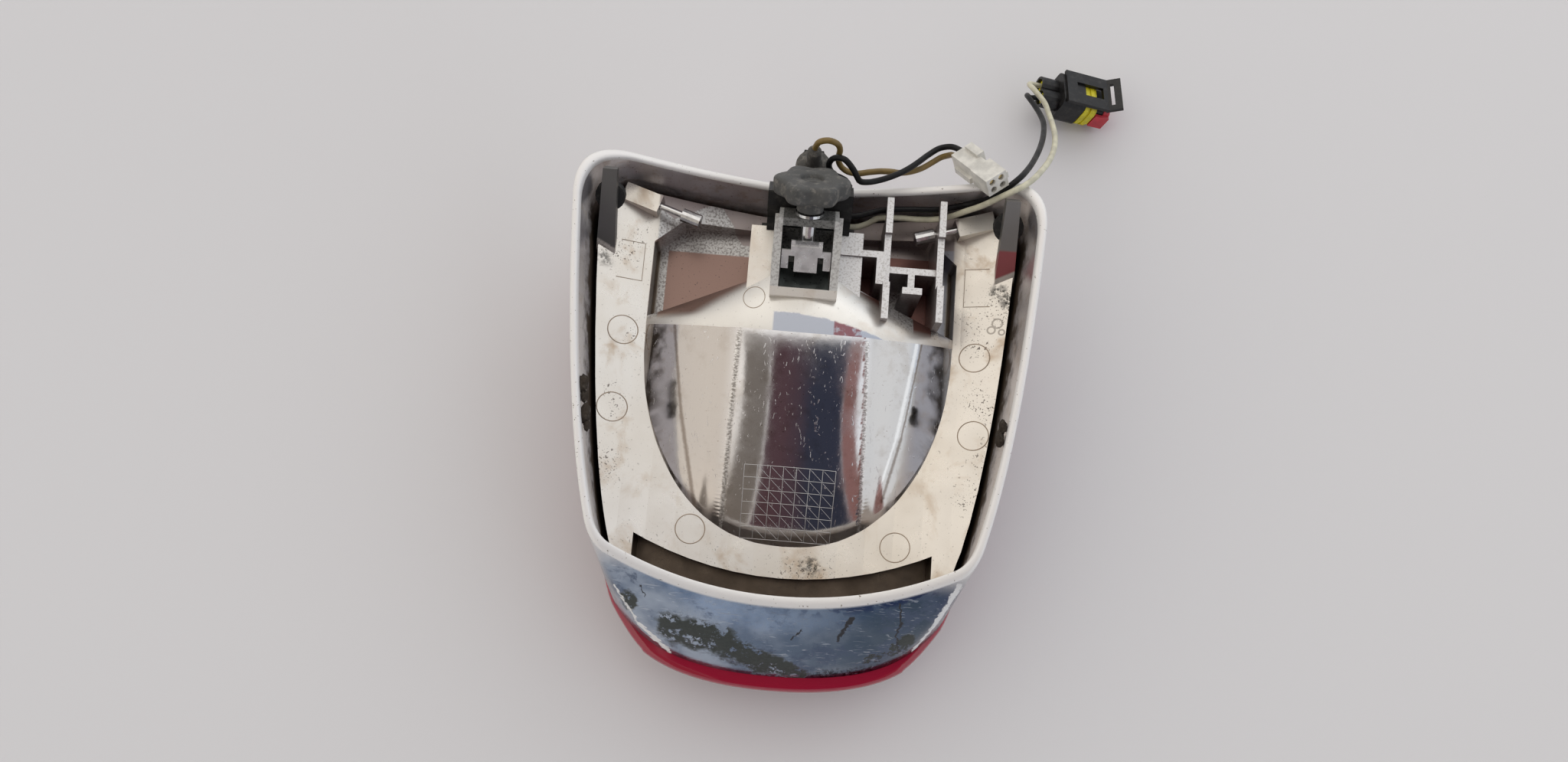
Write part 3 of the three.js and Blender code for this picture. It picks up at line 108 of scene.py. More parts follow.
class Tree:
    """A shader tree with short helpers: nodes are added by kind, and inputs are values or sockets."""

    def __init__(self, tree, place):
        self.tree = tree
        self.place = self.add("ShaderNodeTexCoord").outputs[place]

    def link(self, source, target):
        self.tree.links.new(source, target)

    def add(self, kind, inputs=None, **settings):
        node = self.tree.nodes.new(kind)
        for key, value in settings.items():
            setattr(node, key, value)
        for key, value in (inputs or {}).items():
            socket = node.inputs[key]
            if isinstance(value, bpy.types.NodeSocket):
                self.link(value, socket)
            else:
                socket.default_value = value
        return node

    def math(self, operation, a, b=0.0, clamp=False):
        return self.add("ShaderNodeMath", {0: a, 1: b}, operation=operation, use_clamp=clamp).outputs[0]

    def plus(self, a, b):
        return self.math("ADD", a, b)

    def less(self, a, b):
        return self.math("SUBTRACT", a, b)

    def size(self, a):
        return self.math("ABSOLUTE", a)

    def times(self, *values):
        return reduce(lambda a, b: self.math("MULTIPLY", a, b), values)

    def most(self, *values):
        return reduce(lambda a, b: self.math("MAXIMUM", a, b), values)

    def vector(self, operation, a, b, output=0):
        return self.add("ShaderNodeVectorMath", {0: a, 1: b}, operation=operation).outputs[output]

    def axis(self, name, at=None):
        return self.add("ShaderNodeSeparateXYZ", {0: at or self.place}).outputs[name]

    def axes(self, names="XYZ"):
        return [self.axis(name) for name in names]

    def scaled(self, x, y, z):
        return self.vector("MULTIPLY", self.place, (x, y, z))

    def upright(self):
        """1 on faces that stand up, 0 on faces that lie flat."""
        normal = self.add("ShaderNodeTexCoord").outputs["Normal"]
        return self.ramp(self.size(self.axis("Z", normal)), 0.55, 0.25)

    def noise(self, scale, detail=3, rough=0.55, distortion=0.0, at=None):
        """Noise from about 0 to 1; scale is in features a metre."""
        inputs = {"Vector": at or self.place, "Scale": scale, "Detail": detail, "Roughness": rough,
                  "Distortion": distortion}
        return self.add("ShaderNodeTexNoise", inputs).outputs[0]

    def ramp(self, value, low, high, start=0.0, end=1.0):
        """Runs smoothly from start to end while value goes from low to high, either way round."""
        if low > high:
            low, high, start, end = high, low, end, start
        inputs = {"Value": value, "From Min": low, "From Max": high, "To Min": start, "To Max": end}
        return self.add("ShaderNodeMapRange", inputs, clamp=True, interpolation_type="SMOOTHSTEP").outputs[0]

    def patches(self, low, high, *noise):
        """Patches of noise, which fade in while it goes from low to high."""
        return self.ramp(self.noise(*noise), low, high)

    def band(self, value, low, high, soft):
        """1 while value is between low and high, fading over a soft edge outside them."""
        return self.times(self.ramp(value, low - soft, low), self.ramp(value, high + soft, high))

    def mix(self, share, first, second):
        node = self.add("ShaderNodeMix", {0: share}, data_type="RGBA")
        for socket, value in ((node.inputs[6], first), (node.inputs[7], second)):
            if isinstance(value, bpy.types.NodeSocket):
                self.link(value, socket)
            else:
                socket.default_value = (*value, 1)
        return node.outputs[2]

    def layers(self, colour, *coats):
        """A colour with others laid over it in turn, each given as the share it covers and its colour."""
        for share, coat in coats:
            colour = self.mix(share, colour, coat)
        return colour

    def blend(self, share, first, second):
        """Mixes two numbers by a share."""
        return self.add("ShaderNodeMix", {0: share, 2: first, 3: second}, data_type="FLOAT").outputs[0]


class Look(Tree):
    """A procedural material in the object's own coordinates, in metres."""

    def __init__(self, name, colour, rough, metal=0.0, **sockets):
        self.material = bpy.data.materials.new(name)
        self.material.use_nodes = True
        super().__init__(self.material.node_tree, "Object")
        self.shader = self.tree.nodes["Principled BSDF"]
        self.shader.inputs["Base Color"].default_value = (*colour, 1)
        self.shader.inputs["Roughness"].default_value = rough
        self.shader.inputs["Metallic"].default_value = metal
        for socket, value in sockets.items():
            self.shader.inputs[socket.replace("_", " ")].default_value = value
        self.relief = None

    def from_above(self):
        """The place in plan, in millimetres."""
        return self.vector("MULTIPLY", self.place, (1 / MM, 1 / MM, 0))

    def wavering(self, amount, scale):
        """The place in plan, shaken by up to half an amount, so that shapes get ragged edges."""
        inputs = {"Vector": self.place, "Scale": scale, "Detail": 8, "Roughness": 0.66}
        shake = self.add("ShaderNodeTexNoise", inputs).outputs[1]
        moved = self.vector("MULTIPLY", self.vector("SUBTRACT", shake, (0.5, 0.5, 0.5)), (amount, amount, 0))
        return self.vector("ADD", self.from_above(), moved)

    def blot(self, x, y, radius, soft, at=None):
        """1 inside a round patch seen from above, fading out at its edge."""
        gap = self.vector("DISTANCE", at or self.from_above(), (x, y, 0), "Value")
        return self.ramp(gap, radius, radius * (1 - soft))

    def stroke(self, start, end, width, at, soft):
        """1 along a straight stroke seen from above."""
        span = Vector((*end, 0)) - Vector((*start, 0))
        along = self.vector("SUBTRACT", at, (*start, 0))
        dot = self.vector("DOT_PRODUCT", along, tuple(span / span.length_squared), "Value")
        share = self.math("MAXIMUM", self.math("MINIMUM", dot, 1.0), 0.0)
        reach = self.add("ShaderNodeVectorMath", {0: tuple(span), "Scale": share}, operation="SCALE")
        gap = self.vector("DISTANCE", along, reach.outputs[0], "Value")
        return self.ramp(gap, width / 2, width / 2 * (1 - soft))

    def strokes(self, at, soft, *lines):
        """1 along any of some strokes, each given as its start, its end and its width."""
        return self.most(*(self.stroke(*line, at, soft) for line in lines))

    def rim_level(self, x, drop=0):
        """The height of the bezel's rim at x, less a drop in millimetres."""
        square = self.times(x, x, RIM_RISE * MM / (RIM_HALF_WIDTH * MM) ** 2)
        return self.plus(square, (RIM_LOW - drop) * MM)

    def source(self, name):
        """What feeds one of the shader's inputs so far."""
        return self.shader.inputs[name].links[0].from_socket

    def use(self, **sockets):
        for name, value in sockets.items():
            self.link(value, self.shader.inputs[name.replace("_", " ")])
        return self

    def bump(self, height, depth):
        """Adds relief; height is about 0 to 1 and depth is in millimetres."""
        inputs = {"Height": height, "Distance": depth * MM, "Strength": 1.0}
        if self.relief is not None:
            inputs["Normal"] = self.relief
        self.relief = self.add("ShaderNodeBump", inputs).outputs[0]
        self.link(self.relief, self.shader.inputs["Normal"])
        return self


def moulded(name, colour, rough, grain=0.02, dust=0.0, shine=0.5):
    """Plain moulded plastic or rubber: a fine grain, uneven gloss and a little pale dust."""
    look = Look(name, colour, rough, Specular_IOR_Level=shine)
    patchy = look.noise(240, 4)
    dusty = look.times(look.patches(0.48, 0.72, 420, 5, 0.65), dust)
    shade = look.mix(look.ramp(patchy, 0.3, 0.7), [c * 0.82 for c in colour],
                     [min(1, c * 1.14) for c in colour])
    look.use(Base_Color=look.mix(dusty, shade, (0.42, 0.39, 0.34)),
             Roughness=look.ramp(patchy, 0.25, 0.75, rough - 0.07, rough + 0.1))
    return look.bump(look.noise(2600, 2), grain)


def plated(name, colour, rough, metal=1.0):
    """Dull zinc or brass: faint streaks and tarnish."""
    look = Look(name, colour, rough, metal)
    look.use(Base_Color=look.mix(look.patches(0.45, 0.8, 300, 4), colour, [c * 0.72 for c in colour]),
             Roughness=look.ramp(look.noise(500, 3), 0.3, 0.7, rough - 0.04, rough + 0.08))
    return look.bump(look.noise(900, 2), 0.006)


def clip_look():
    """Bright spring steel with painted shade on its tongue where it bends down."""
    look = plated("clip", (0.95, 0.95, 0.94), 0.22, 0.5)
    tongue = look.ramp(look.size(look.axis("X")), 0.0039, 0.0036)
    # Painted shade on the tongue where it bends down
    tongue_painted_shade = look.times(look.band(look.axis("Y"), 0.0545, 0.0585, 0.0008), tongue, 0.75)
    return look.use(Base_Color=look.mix(tongue_painted_shade, look.source("Base Color"), (0.15, 0.155, 0.155)))


def bezel_look():
    """Blue-grey chrome on the hood with peeled and crazed patches, painted dark reflections on its right and
    painted highlights along its left ridge; silver-white on the upper edge.
    """
    look = Look("chrome", (0.6, 0.64, 0.7), 0.15, 1.0)
    times, most, ramp, mix, patches = (
        look.times, look.most, look.ramp, look.mix, look.patches)
    x, y, z = look.axes()
    below = look.less(look.rim_level(x), z)
    edge = ramp(below, 0.0016, 0.0008)
    front = ramp(y, -0.044, -0.052)
    right = ramp(x, -0.02, 0.045)
    ragged = look.wavering(9, 170)
    fine = look.wavering(3.4, 520)
    # Peeled patches with islands of chrome in them, cracks, a bare peeled strip on the right and painted
    # highlights along the left ridge
    islands = patches(0.555, 0.575, 190, 9, 0.78)
    peel = most(
        look.strokes(ragged, 0.4, ((-34, -67), (-17, -70.5), 11), ((-17, -71), (0, -76.5), 9),
                     ((0, -76.5), (9, -79), 6), ((30, -73), (44, -67), 2.0)),
        look.blot(-47, -60, 3.4, 0.3, fine), look.blot(42, -66, 3.0, 0.3, ragged),
    )
    peel = times(peel, ramp(islands, 0, 1, 1, 0), ramp(edge, 0, 1, 1, 0))
    crack = look.strokes(
        fine, 0.4, ((37.3, -54.5), (39.2, -60.5), 0.8), ((39.2, -60.5), (38.0, -64), 0.8),
        ((38.0, -64), (40.5, -69), 0.6), ((23.5, -60), (20, -66.5), 1.4),
        ((-43, -55), (-41.5, -58.5), 0.5), ((8, -65), (5, -68), 0.5),
    )
    bare_and_highlights = look.strokes(
        fine, 0.4, ((55.0, -48), (50.5, -60), 2.4), ((50.5, -60), (45.6, -68.5), 1.3),
        ((-51.5, -56), (-44, -67), 0.9), ((-44, -67), (-34, -75), 1.7),
    )
    scratches = patches(0.6, 0.68, 1.0, 3, 0.6, 1.2, look.scaled(160, 1100, 600))
    mottle = ramp(look.plus(look.noise(85, 8, 0.78, 0.25), times(right, 0.1)), 0.54, 0.66)
    spikes = times(patches(0.5, 0.56, 1.0, 3, 0.7, 0.4, look.scaled(900, 900, 160)),
                        ramp(z, 0.0385, 0.0335), ramp(x, 0.006, 0.02))
    top = times(ramp(below, 0.0045, 0.002), patches(0.44, 0.52, 220, 4), right)
    # Painted dark reflection: the hood darkens to navy towards the right, along its top edge on the right and
    # at its right end
    hood = look.layers(
        mix(patches(0.35, 0.65, 60, 3), (0.19, 0.245, 0.335), (0.42, 0.485, 0.58)),
        (times(right, 0.9), (0.05, 0.078, 0.115)),
        (times(mottle, 0.8), (0.1, 0.13, 0.2)),
        (most(top, times(ramp(x, 0.047, 0.055), 0.8)), (0.035, 0.05, 0.11)),
        (times(scratches, 0.32), (0.8, 0.84, 0.9)),
        (peel, mix(look.noise(900, 3), (0.016, 0.022, 0.021), (0.052, 0.062, 0.056))),
        (most(crack, spikes), (0.02, 0.02, 0.025)),
        (bare_and_highlights, (0.86, 0.87, 0.87)),
    )
    side = mix(patches(0.4, 0.7, 80, 4), (0.8, 0.79, 0.78), (0.7, 0.7, 0.71))
    rim = mix(patches(0.69, 0.73, 1100, 2), (0.9, 0.89, 0.88), (0.25, 0.21, 0.17))
    matt = times(front, most(peel, crack, bare_and_highlights))
    gloss = ramp(look.noise(700, 5, 0.7), 0.3, 0.7, 0.1, 0.24)
    look.use(
        Base_Color=mix(edge, mix(front, side, hood), rim),
        Metallic=look.blend(most(matt, times(edge, 0.75)), 1.0, 0.0),
        Roughness=look.blend(most(matt, times(edge, 0.9)), gloss, 0.55),
    )
    look.bump(times(front, ramp(peel, 0, 1, 1, 0)), 0.05)
    return look.bump(times(scratches, front), 0.015)


def bezel_inside_look():
    """The inner wall: grey-lilac near the edge, darkening down into the groove with brown dirt and painted
    shade.
    """
    look = Look("bezel_inside", (0.62, 0.6, 0.62), 0.32, 0.75)
    x, y, z = look.axes()
    below = look.less(look.rim_level(x), z)
    uneven = look.plus(below, look.ramp(look.noise(160, 5), 0.25, 0.75, -0.004, 0.004))
    far = look.ramp(y, 0.062, 0.074)
    # Brown dirt and painted shade down in the groove, darkest on the near side
    deep = look.ramp(look.less(uneven, look.times(far, 0.006)), 0.007, 0.016)
    colour = look.layers(
        (0.66, 0.63, 0.65),
        (look.times(look.patches(0.5, 0.72, 240, 5, 0.6), 0.6), (0.46, 0.38, 0.33)),
        (look.patches(0.67, 0.72, 1500, 2), (0.16, 0.12, 0.1)),
        (deep, look.mix(far, (0.05, 0.033, 0.021), (0.2, 0.15, 0.13))),
    )
    look.use(Base_Color=colour, Metallic=look.blend(deep, 0.75, 0.1), Roughness=look.blend(deep, 0.3, 0.7))
    return look.bump(look.noise(1200, 4), 0.03)


CURLS = [(64.6, 38.6, 1.9), (62.8, 36.4, 1.5), (66.0, 35.6, 1.2)]
CURL_WIDTH = 0.55


def metallised(name, warm, mirror, fittings=1.0):
    """Vacuum-metallised plastic: a stained flange, and fittings coloured with painted light, painted shade
    and painted reflections.
    """
    look = Look(name, warm, mirror, 0.9)
    times, most, ramp, mix, band, patches, blot = (
        look.times, look.most, look.ramp, look.mix, look.band, look.patches, look.blot)
    x, y, z = look.axes()
    across = look.size(x)
    level = look.rim_level(x, FLANGE_DEPTH)
    upright = look.upright()
    hard = 0.0003
    # The flange: stains and specks, most of them at its sides and its near end, smudges and curls
    away = most(ramp(across, 0.036, 0.066), ramp(y, -0.034, -0.046))
    stains = times(patches(0.5, 0.74, 75, 6, 0.62, 0.5), look.blend(away, 0.35, 0.9))
    clusters = most(patches(0.5, 0.68, 60, 3, 0.6), blot(8, -46, 17, 0.9), blot(-60, -18, 14, 0.9),
                    blot(66, 44, 12, 0.8))
    drop = times(clusters, away, 0.075)
    dots = most(ramp(look.plus(look.noise(1050, 1), drop), 0.715, 0.735),
                ramp(look.plus(look.noise(2100, 1), drop), 0.725, 0.745))
    specks = times(dots, look.blend(times(away, clusters), 0.25, 1.0))
    ragged = look.wavering(7, 200)
    smudges = most(
        blot(68, 46, 4.4, 0.8, ragged), blot(64.5, 49.5, 3.4, 0.8, ragged),
        times(blot(10, -44.6, 4.6, 0.8, ragged), 0.8), times(blot(-66, 50, 4, 0.9, ragged), 0.7),
    )
    smudges = times(smudges, patches(0.4, 0.56, 600, 5, 0.7))
    curls = most(*(look.less(blot(*at, r, 0.1), blot(*at, r - CURL_WIDTH, 0.1)) for *at, r in CURLS))
    # The recess: plain mirror panels with painted brown reflections, between pitted grey ones
    sunk = times(ramp(across, 0.0505, 0.0495), ramp(y, 0.031, 0.034), ramp(z, 0.0625, 0.0595))
    brown = most(
        times(band(x, -0.0472, -0.0125, hard), ramp(y, 0.0606, 0.06)),
        times(band(x, 0.0276, 0.043, hard), ramp(y, 0.0534, 0.0538)),
        times(band(x, 0.037, 0.043, hard), ramp(y, 0.052, 0.0515)),
        band(x, 0.0125, 0.025, hard),
    )
    pits = patches(0.46, 0.6, 1300, 3, 0.6)
    # The pitted panel ends in a V at its far side and slants off to the right
    v_edge = look.less(look.less(y, times(look.size(look.plus(x, 0.0453)), 0.6)), 0.0679)
    slant = look.plus(look.plus(x, 0.0314), times(look.less(y, 0.0769), 0.73))
    beyond = most(ramp(v_edge, 0, hard), ramp(slant, 0, hard))
    floor = look.layers(
        mix(pits, (0.6, 0.59, 0.58), (0.3, 0.28, 0.27)),
        (ramp(x, 0.0455, 0.046), (0.4, 0.41, 0.46)),
        (times(beyond, ramp(y, 0.064, 0.0645)), (0.36, 0.31, 0.3)),
        (times(brown, ramp(y, 0.0645, 0.064)),
         mix(ramp(x, -0.01, 0.01), (0.33, 0.215, 0.18), (0.21, 0.1, 0.085))),
        (times(dots, 0.7), (0.12, 0.09, 0.08)),
    )
    # The ribs, with painted light on their tops and painted shade on their sides, and painted shade in the
    # groove round the flange
    ribs = times(band(x, 0.0112, 0.0462, hard), band(y, 0.033, 0.078, hard), fittings)
    rib_tops_painted_light = times(ribs, ramp(z, 0.059, 0.06), ramp(upright, 1, 0))
    rib_sides_painted_shade = times(ribs, ramp(z, 0.0395, 0.0405), upright)
    worn = patches(0.46, 0.7, 1500, 4, 0.6)
    # Painted shade in the groove between the flange and the bezel
    groove = times(ramp(look.less(level, z), 0.0006, 0.0022),
                   most(ramp(across, 0.0495, 0.0505), ramp(y, 0.031, 0.028)))
    # The stud's channel, with painted shade on its upright faces and in its bed
    block = times(ramp(across, 0.0112, 0.011), ramp(y, 0.0384, 0.0388), ramp(z, 0.0595, 0.06), fittings)
    channel = look.layers(
        mix(ramp(pits, 0, 1, 0, 0.6), (0.7, 0.7, 0.68), (0.4, 0.385, 0.37)),
        (upright, mix(pits, (0.36, 0.355, 0.34), (0.17, 0.165, 0.155))),
        (times(ramp(across, 0.0083, 0.008), ramp(y, 0.05, 0.052)),
         mix(pits, (0.22, 0.22, 0.21), (0.1, 0.1, 0.095))),
    )
    # The prongs: painted reflections, dark on the left one, grey above and dark red below on the right one
    prong_reflections = times(ramp(across, 0.0615, 0.062), ramp(y, 0.05, 0.0505),
                   ramp(look.less(z, level), 0.0012, 0.002))
    right_prong_reflection = mix(ramp(y, 0.0612, 0.0604), (0.27, 0.26, 0.25), (0.4, 0.12, 0.13))
    colour = look.layers(
        warm,
        (patches(0.35, 0.68, 22, 4, 0.55), [c * f for c, f in zip(warm, (0.97, 0.95, 0.92))]),
        (stains, (0.56, 0.43, 0.3)),
        (most(times(specks, 0.85), times(curls, 0.55)), (0.1, 0.075, 0.06)),
        (smudges, (0.05, 0.05, 0.045)),
        (sunk, floor),
        (rib_tops_painted_light, mix(worn, (0.8, 0.8, 0.81), (0.52, 0.5, 0.49))),
        (rib_sides_painted_shade, mix(worn, (0.34, 0.31, 0.31), (0.2, 0.165, 0.16))),
        (groove, mix(look.noise(140, 5), (0.05, 0.036, 0.026), (0.16, 0.125, 0.095))),
        (times(block, ramp(y, 0.0414, 0.0418)), channel),
        (prong_reflections, mix(ramp(x, -0.001, 0.001), (0.16, 0.155, 0.15), right_prong_reflection)),
    )
    # Dirt, and the places coloured with painted light, shade and reflections, made less metallic and rougher
    dirt_and_painted_light = most(times(specks, 0.8), smudges, times(stains, 0.4), times(block, 0.75),
                 times(rib_tops_painted_light, 0.5), times(rib_sides_painted_shade, 0.4), times(prong_reflections, 0.35), times(sunk, 0.4))
    gloss = ramp(look.noise(90, 4), 0.3, 0.7, mirror, mirror + 0.12)
    look.use(Base_Color=colour, Metallic=look.blend(dirt_and_painted_light, 0.9, 0.2),
             Roughness=look.blend(dirt_and_painted_light, look.blend(sunk, gloss, 0.1), 0.6))
    return look.bump(look.noise(420, 4, 0.6), 0.02)


def dome_look():
    """The reflector's back: bright metal with fine scratches, a tan cast on its left, a painted blue-grey
    reflection on its right and a painted highlight streak.
    """
    look = Look("dome", (0.8, 0.8, 0.8), 0.12, 1.0)
    times, ramp, mix, patches = (
        look.times, look.ramp, look.mix, look.patches)
    x, y = look.axes("XY")
    fine = look.wavering(0.8, 900)
    crease = look.strokes(fine, 0.9, ((-41.4, 33), (-36, 0), 1.7), ((-36, 0), (-29.4, -29), 2.2),
                          ((40.2, 31), (35.4, -2), 1.0), ((35.4, -2), (31, -22), 1.6))
    # A painted highlight streak beside the right crease
    highlight_streak = look.most(look.stroke((38.6, 31), (33.8, -2), 1.9, fine, 0.8),
                       look.stroke((33.8, -2), (29.5, -20), 1.4, fine, 0.9))
    knurls = look.strokes(fine, 0.8, ((-19.2, 26), (-20.6, -37), 2.6), ((21.6, 26), (24.6, -36), 2.0))
    beads = patches(0.4, 0.6, 1.0, 1, 0.5, 0.0, look.scaled(1100, 1900, 400))
    scratches = patches(0.64, 0.7, 1.0, 4, 0.6, 2.0, look.scaled(700, 240, 300))
    # Painted blue-grey reflection on the right facet
    right = mix(ramp(x, 0.035, 0.041), (0.64, 0.63, 0.62), (0.5, 0.545, 0.62))
    colour = look.layers(
        (0.74, 0.74, 0.76),
        (ramp(x, 0.021, 0.024), right),
        (times(ramp(x, -0.016, -0.024), 0.9), (0.52, 0.485, 0.455)),
        (times(patches(0.5, 0.68, 130, 5, 0.6), 0.4), (0.44, 0.4, 0.36)),
        (times(ramp(y, -0.006, -0.034), 0.5), (0.66, 0.6, 0.54)),
        (times(patches(0.7, 0.74, 1300, 2), 0.6), (0.22, 0.17, 0.13)),
        (times(scratches, 0.45), (0.92, 0.93, 0.95)),
        (times(knurls, 0.65), mix(beads, (0.26, 0.24, 0.22), (0.9, 0.89, 0.87))),
        (times(crease, 0.75), (0.2, 0.16, 0.13)),
        (times(highlight_streak, 0.7), (0.97, 0.97, 0.96)),
    )
    haze = look.blend(patches(0.4, 0.72, 70, 5, 0.6), 0.07, 0.17)
    scuffs = times(look.most(scratches, knurls), 0.2)
    look.use(Base_Color=colour, Roughness=look.math("ADD", haze, scuffs, clamp=True))
    return look.bump(scratches, 0.012).bump(look.noise(300, 3), 0.012)


def shoulder_look():
    """The shoulder: stained metal with a painted blue-grey reflection along the dome's top edge, with a
    painted reddish reflection in it.
    """
    look = metallised("shoulder", (0.8, 0.785, 0.75), 0.34, 0.0)
    x, y = look.axes("XY")
    off = look.plus(x, 0.0085)
    edge = look.plus(y, look.times(off, off, 4.6))
    uneven = look.plus(edge, look.ramp(look.noise(500, 3), 0.3, 0.7, -0.0002, 0.0002))
    # Painted reflection: a blue-grey band along the dome's top edge with a reddish patch
    band = look.times(look.ramp(x, -0.0092, -0.0084), look.ramp(uneven, 0.0342, 0.0334))
    red = look.times(look.band(x, 0.011, 0.0195, 0.0006), look.patches(0.38, 0.54, 330, 4, 0.65))
    band_reflection_tint = look.mix(red, (0.44, 0.47, 0.54), (0.27, 0.13, 0.15))
    return look.use(Base_Color=look.mix(band, look.source("Base Color"), band_reflection_tint),
                    Roughness=look.blend(band, look.source("Roughness"), 0.2))


def lens_look():
    look = Look("lens", (0.5, 0.012, 0.05), 0.06, 0.0, Coat_Weight=0.5)
    deep = look.ramp(look.axis("Z"), 0.004, 0.03)
    look.use(Base_Color=look.mix(deep, (0.18, 0.004, 0.012), (0.34, 0.01, 0.036)),
             Roughness=look.ramp(look.noise(300, 5), 0.35, 0.7, 0.05, 0.16))
    return look.bump(look.noise(900, 2), 0.01)


looks = {
    "chrome": bezel_look(),
    "bezel_inside": bezel_inside_look(),
    "housing": metallised("housing", (0.81, 0.775, 0.72), 0.26),
    "dome": dome_look(),
    "shoulder": shoulder_look(),
    "mark": Look("mark", (0.42, 0.33, 0.25), 0.5, 0.4),
    "grid": Look("grid", (0.66, 0.66, 0.66), 0.35, 0.7),
    # The channel's bowl: dark with a painted reflection
    "bowl": plated("bowl", (0.1, 0.112, 0.11), 0.3),
    "clip": clip_look(),
    "lens": lens_look(),
    "steel": plated("steel", (0.8, 0.8, 0.8), 0.2),
    "brass": plated("brass", (0.66, 0.53, 0.28), 0.32),
    "glass": Look("glass", (0.95, 0.97, 1.0), 0.03, 0.0, Alpha=0.35),
}
# Moulded ones: colour, roughness, grain, dust and shine
for name, *values in (
    ("dirt", (0.04, 0.03, 0.022), 0.95, 0.25, 0.1),
    ("rubber", (0.022, 0.022, 0.022), 0.72, 0.03, 0.1),
    ("knob", (0.078, 0.079, 0.077), 0.62, 0.08, 0.34),
    ("holder", (0.014, 0.014, 0.014), 0.42, 0.02, 0.08, 0.3),
    ("boot", (0.075, 0.072, 0.066), 0.8, 0.05, 0.35),
    ("white", (0.72, 0.71, 0.66), 0.42, 0.015, 0.05),
    ("black", (0.011, 0.011, 0.012), 0.36, 0.012, 0.05, 0.35),
    ("yellow", (0.7, 0.62, 0.02), 0.45, 0.01),
    ("red", (0.58, 0.03, 0.05), 0.38, 0.01),
    ("wire_black", (0.008, 0.008, 0.009), 0.4, 0.008, 0.02, 0.22),
    ("wire_khaki", (0.19, 0.125, 0.032), 0.4, 0.008, 0.05),
    ("wire_cream", (0.62, 0.6, 0.46), 0.42, 0.008, 0.05),
):
    looks[name] = moulded(name, *values)

node_looks = {
    "rubber": ["lens_gasket", "holder_gasket", "rubber_pad_left", "rubber_pad_right"],
    "housing": ["reflector_housing"],
    "steel": ["knob_stud", "stud_washer", "retaining_pin_left", "retaining_pin_right"],
    "clip": ["spring_clip"],
    "holder": ["bulb_holder", "tail_bulb_base"],
    "boot": ["holder_boot"],
    "brass": ["stop_contact", "tail_contact", "stop_bulb_base", "tail_terminal_a", "tail_terminal_b"],
    "glass": ["stop_bulb_glass", "tail_bulb_glass"],
    "white": ["tail_connector"],
    "black": ["stop_connector"],
    "yellow": ["connector_seal", "wire_seal_a", "wire_seal_b"],
    "red": ["connector_wedge"],
}
# Rounding of the edges of moulded pieces, in millimetres
edge_rounding = {
    "bulb_holder": 0.35, "tail_connector": 0.3, "stop_connector": 0.3,
    "connector_seal": 0.25, "connector_wedge": 0.3, "holder_boot": 0.4,
}


def soften(obj, angle=32):
    """Smooth shading that keeps edges sharper than an angle in degrees."""
    for polygon in obj.data.polygons:
        polygon.use_smooth = True
    obj.data.set_sharp_from_angle(angle=math.radians(angle))


def round_edges(obj, width):
    tidy = obj.modifiers.new("tidy", "DECIMATE")
    tidy.decimate_type = "DISSOLVE"
    tidy.angle_limit = math.radians(1)
    rounding = obj.modifiers.new("rounding", "BEVEL")
    rounding.width = width * MM
    rounding.segments = 2
    rounding.limit_method = "ANGLE"
    rounding.angle_limit = math.radians(38)
    rounding.harden_normals = True


for look, names in node_looks.items():
    for name in names:
        nodes[name].data.materials.clear()
        nodes[name].data.materials.append(looks[look].material)
        soften(nodes[name])
        if name in edge_rounding:
            round_edges(nodes[name], edge_rounding[name])


def in_scene(name, data):
    """A new object in the scene."""
    obj = bpy.data.objects.new(name, data)
    scene.collection.objects.link(obj)
    return obj


def add_mesh(name, points, faces, look, smooth_angle=32, body="light"):
    """A piece that rides on one of the bodies, from points in millimetres."""
    mesh = bpy.data.meshes.new(name)
    mesh.from_pydata([tuple(Vector(p) * MM) for p in points], [], faces)
    obj = in_scene(name, mesh)
    mesh.materials.append(looks[look].material)
    soften(obj, smooth_angle)
    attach(obj, body)
    return obj


# Bezel and lens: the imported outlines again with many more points, and rounded edges

OUTLINE_STEPS = 18


def outline_of(controls, half_width, length, near):
    """A mirrored outline in plan, from the near middle round the right side and back on the left."""
    places = [Vector((x * half_width, y * length - near)) for x, y in controls]
    half = []
    for a, b, c in zip(places[::2], places[1::2], places[2::2]):
        half += [bent(a, b, c, i / OUTLINE_STEPS) for i in range(OUTLINE_STEPS)]
    return [*half, places[-1], *(Vector((-p.x, p.y)) for p in reversed(half[1:]))]


rim = outline_of(RIM_CONTROLS, RIM_HALF_WIDTH, RIM_LENGTH, RIM_NEAR)
joint = outline_of(JOINT_CONTROLS, RIM_HALF_WIDTH - JOINT_INSET, RIM_LENGTH + HOOD_REACH - JOINT_INSET,
                   RIM_NEAR + HOOD_REACH)


def normals_of(outline):
    normals = []
    for i in range(len(outline)):
        step = outline[(i + 1) % len(outline)] - outline[i - 1]
        normals.append(Vector((step.y, -step.x)).normalized())
    return normals


rim_normals = normals_of(rim)
joint_normals = normals_of(joint)


def bezel_loop(share):
    """The bezel's outer face, from the lens joint at share 0 to the upper edge at share 1."""
    loop = []
    for low, high, out in zip(joint, rim, rim_normals):
        bulge = HOOD_BULGE * max(0, -out.y) ** HOOD_POWER * math.sin(math.pi * share)
        flat = low.lerp(high, share) + out * bulge
        loop.append(Vector((flat.x, flat.y, mix(JOINT_HEIGHT, rim_height(high.x), share))))
    return loop


def shrunk(loop, distance):
    reach = max(p.x for p in loop)
    near, far = min(p.y for p in loop), max(p.y for p in loop)
    middle, half = (near + far) / 2, (far - near) / 2
    return [Vector((p.x * (1 - distance / reach), middle + (p.y - middle) * (1 - distance / half), p.z))
            for p in loop]


def fillet(before, corner, after, steps):
    """Loops that round a corner between two loops, the first and last of them included."""
    shares = [i / steps for i in range(steps + 1)]
    return [[bent(a, b, c, t) for a, b, c in zip(before, corner, after)] for t in shares]


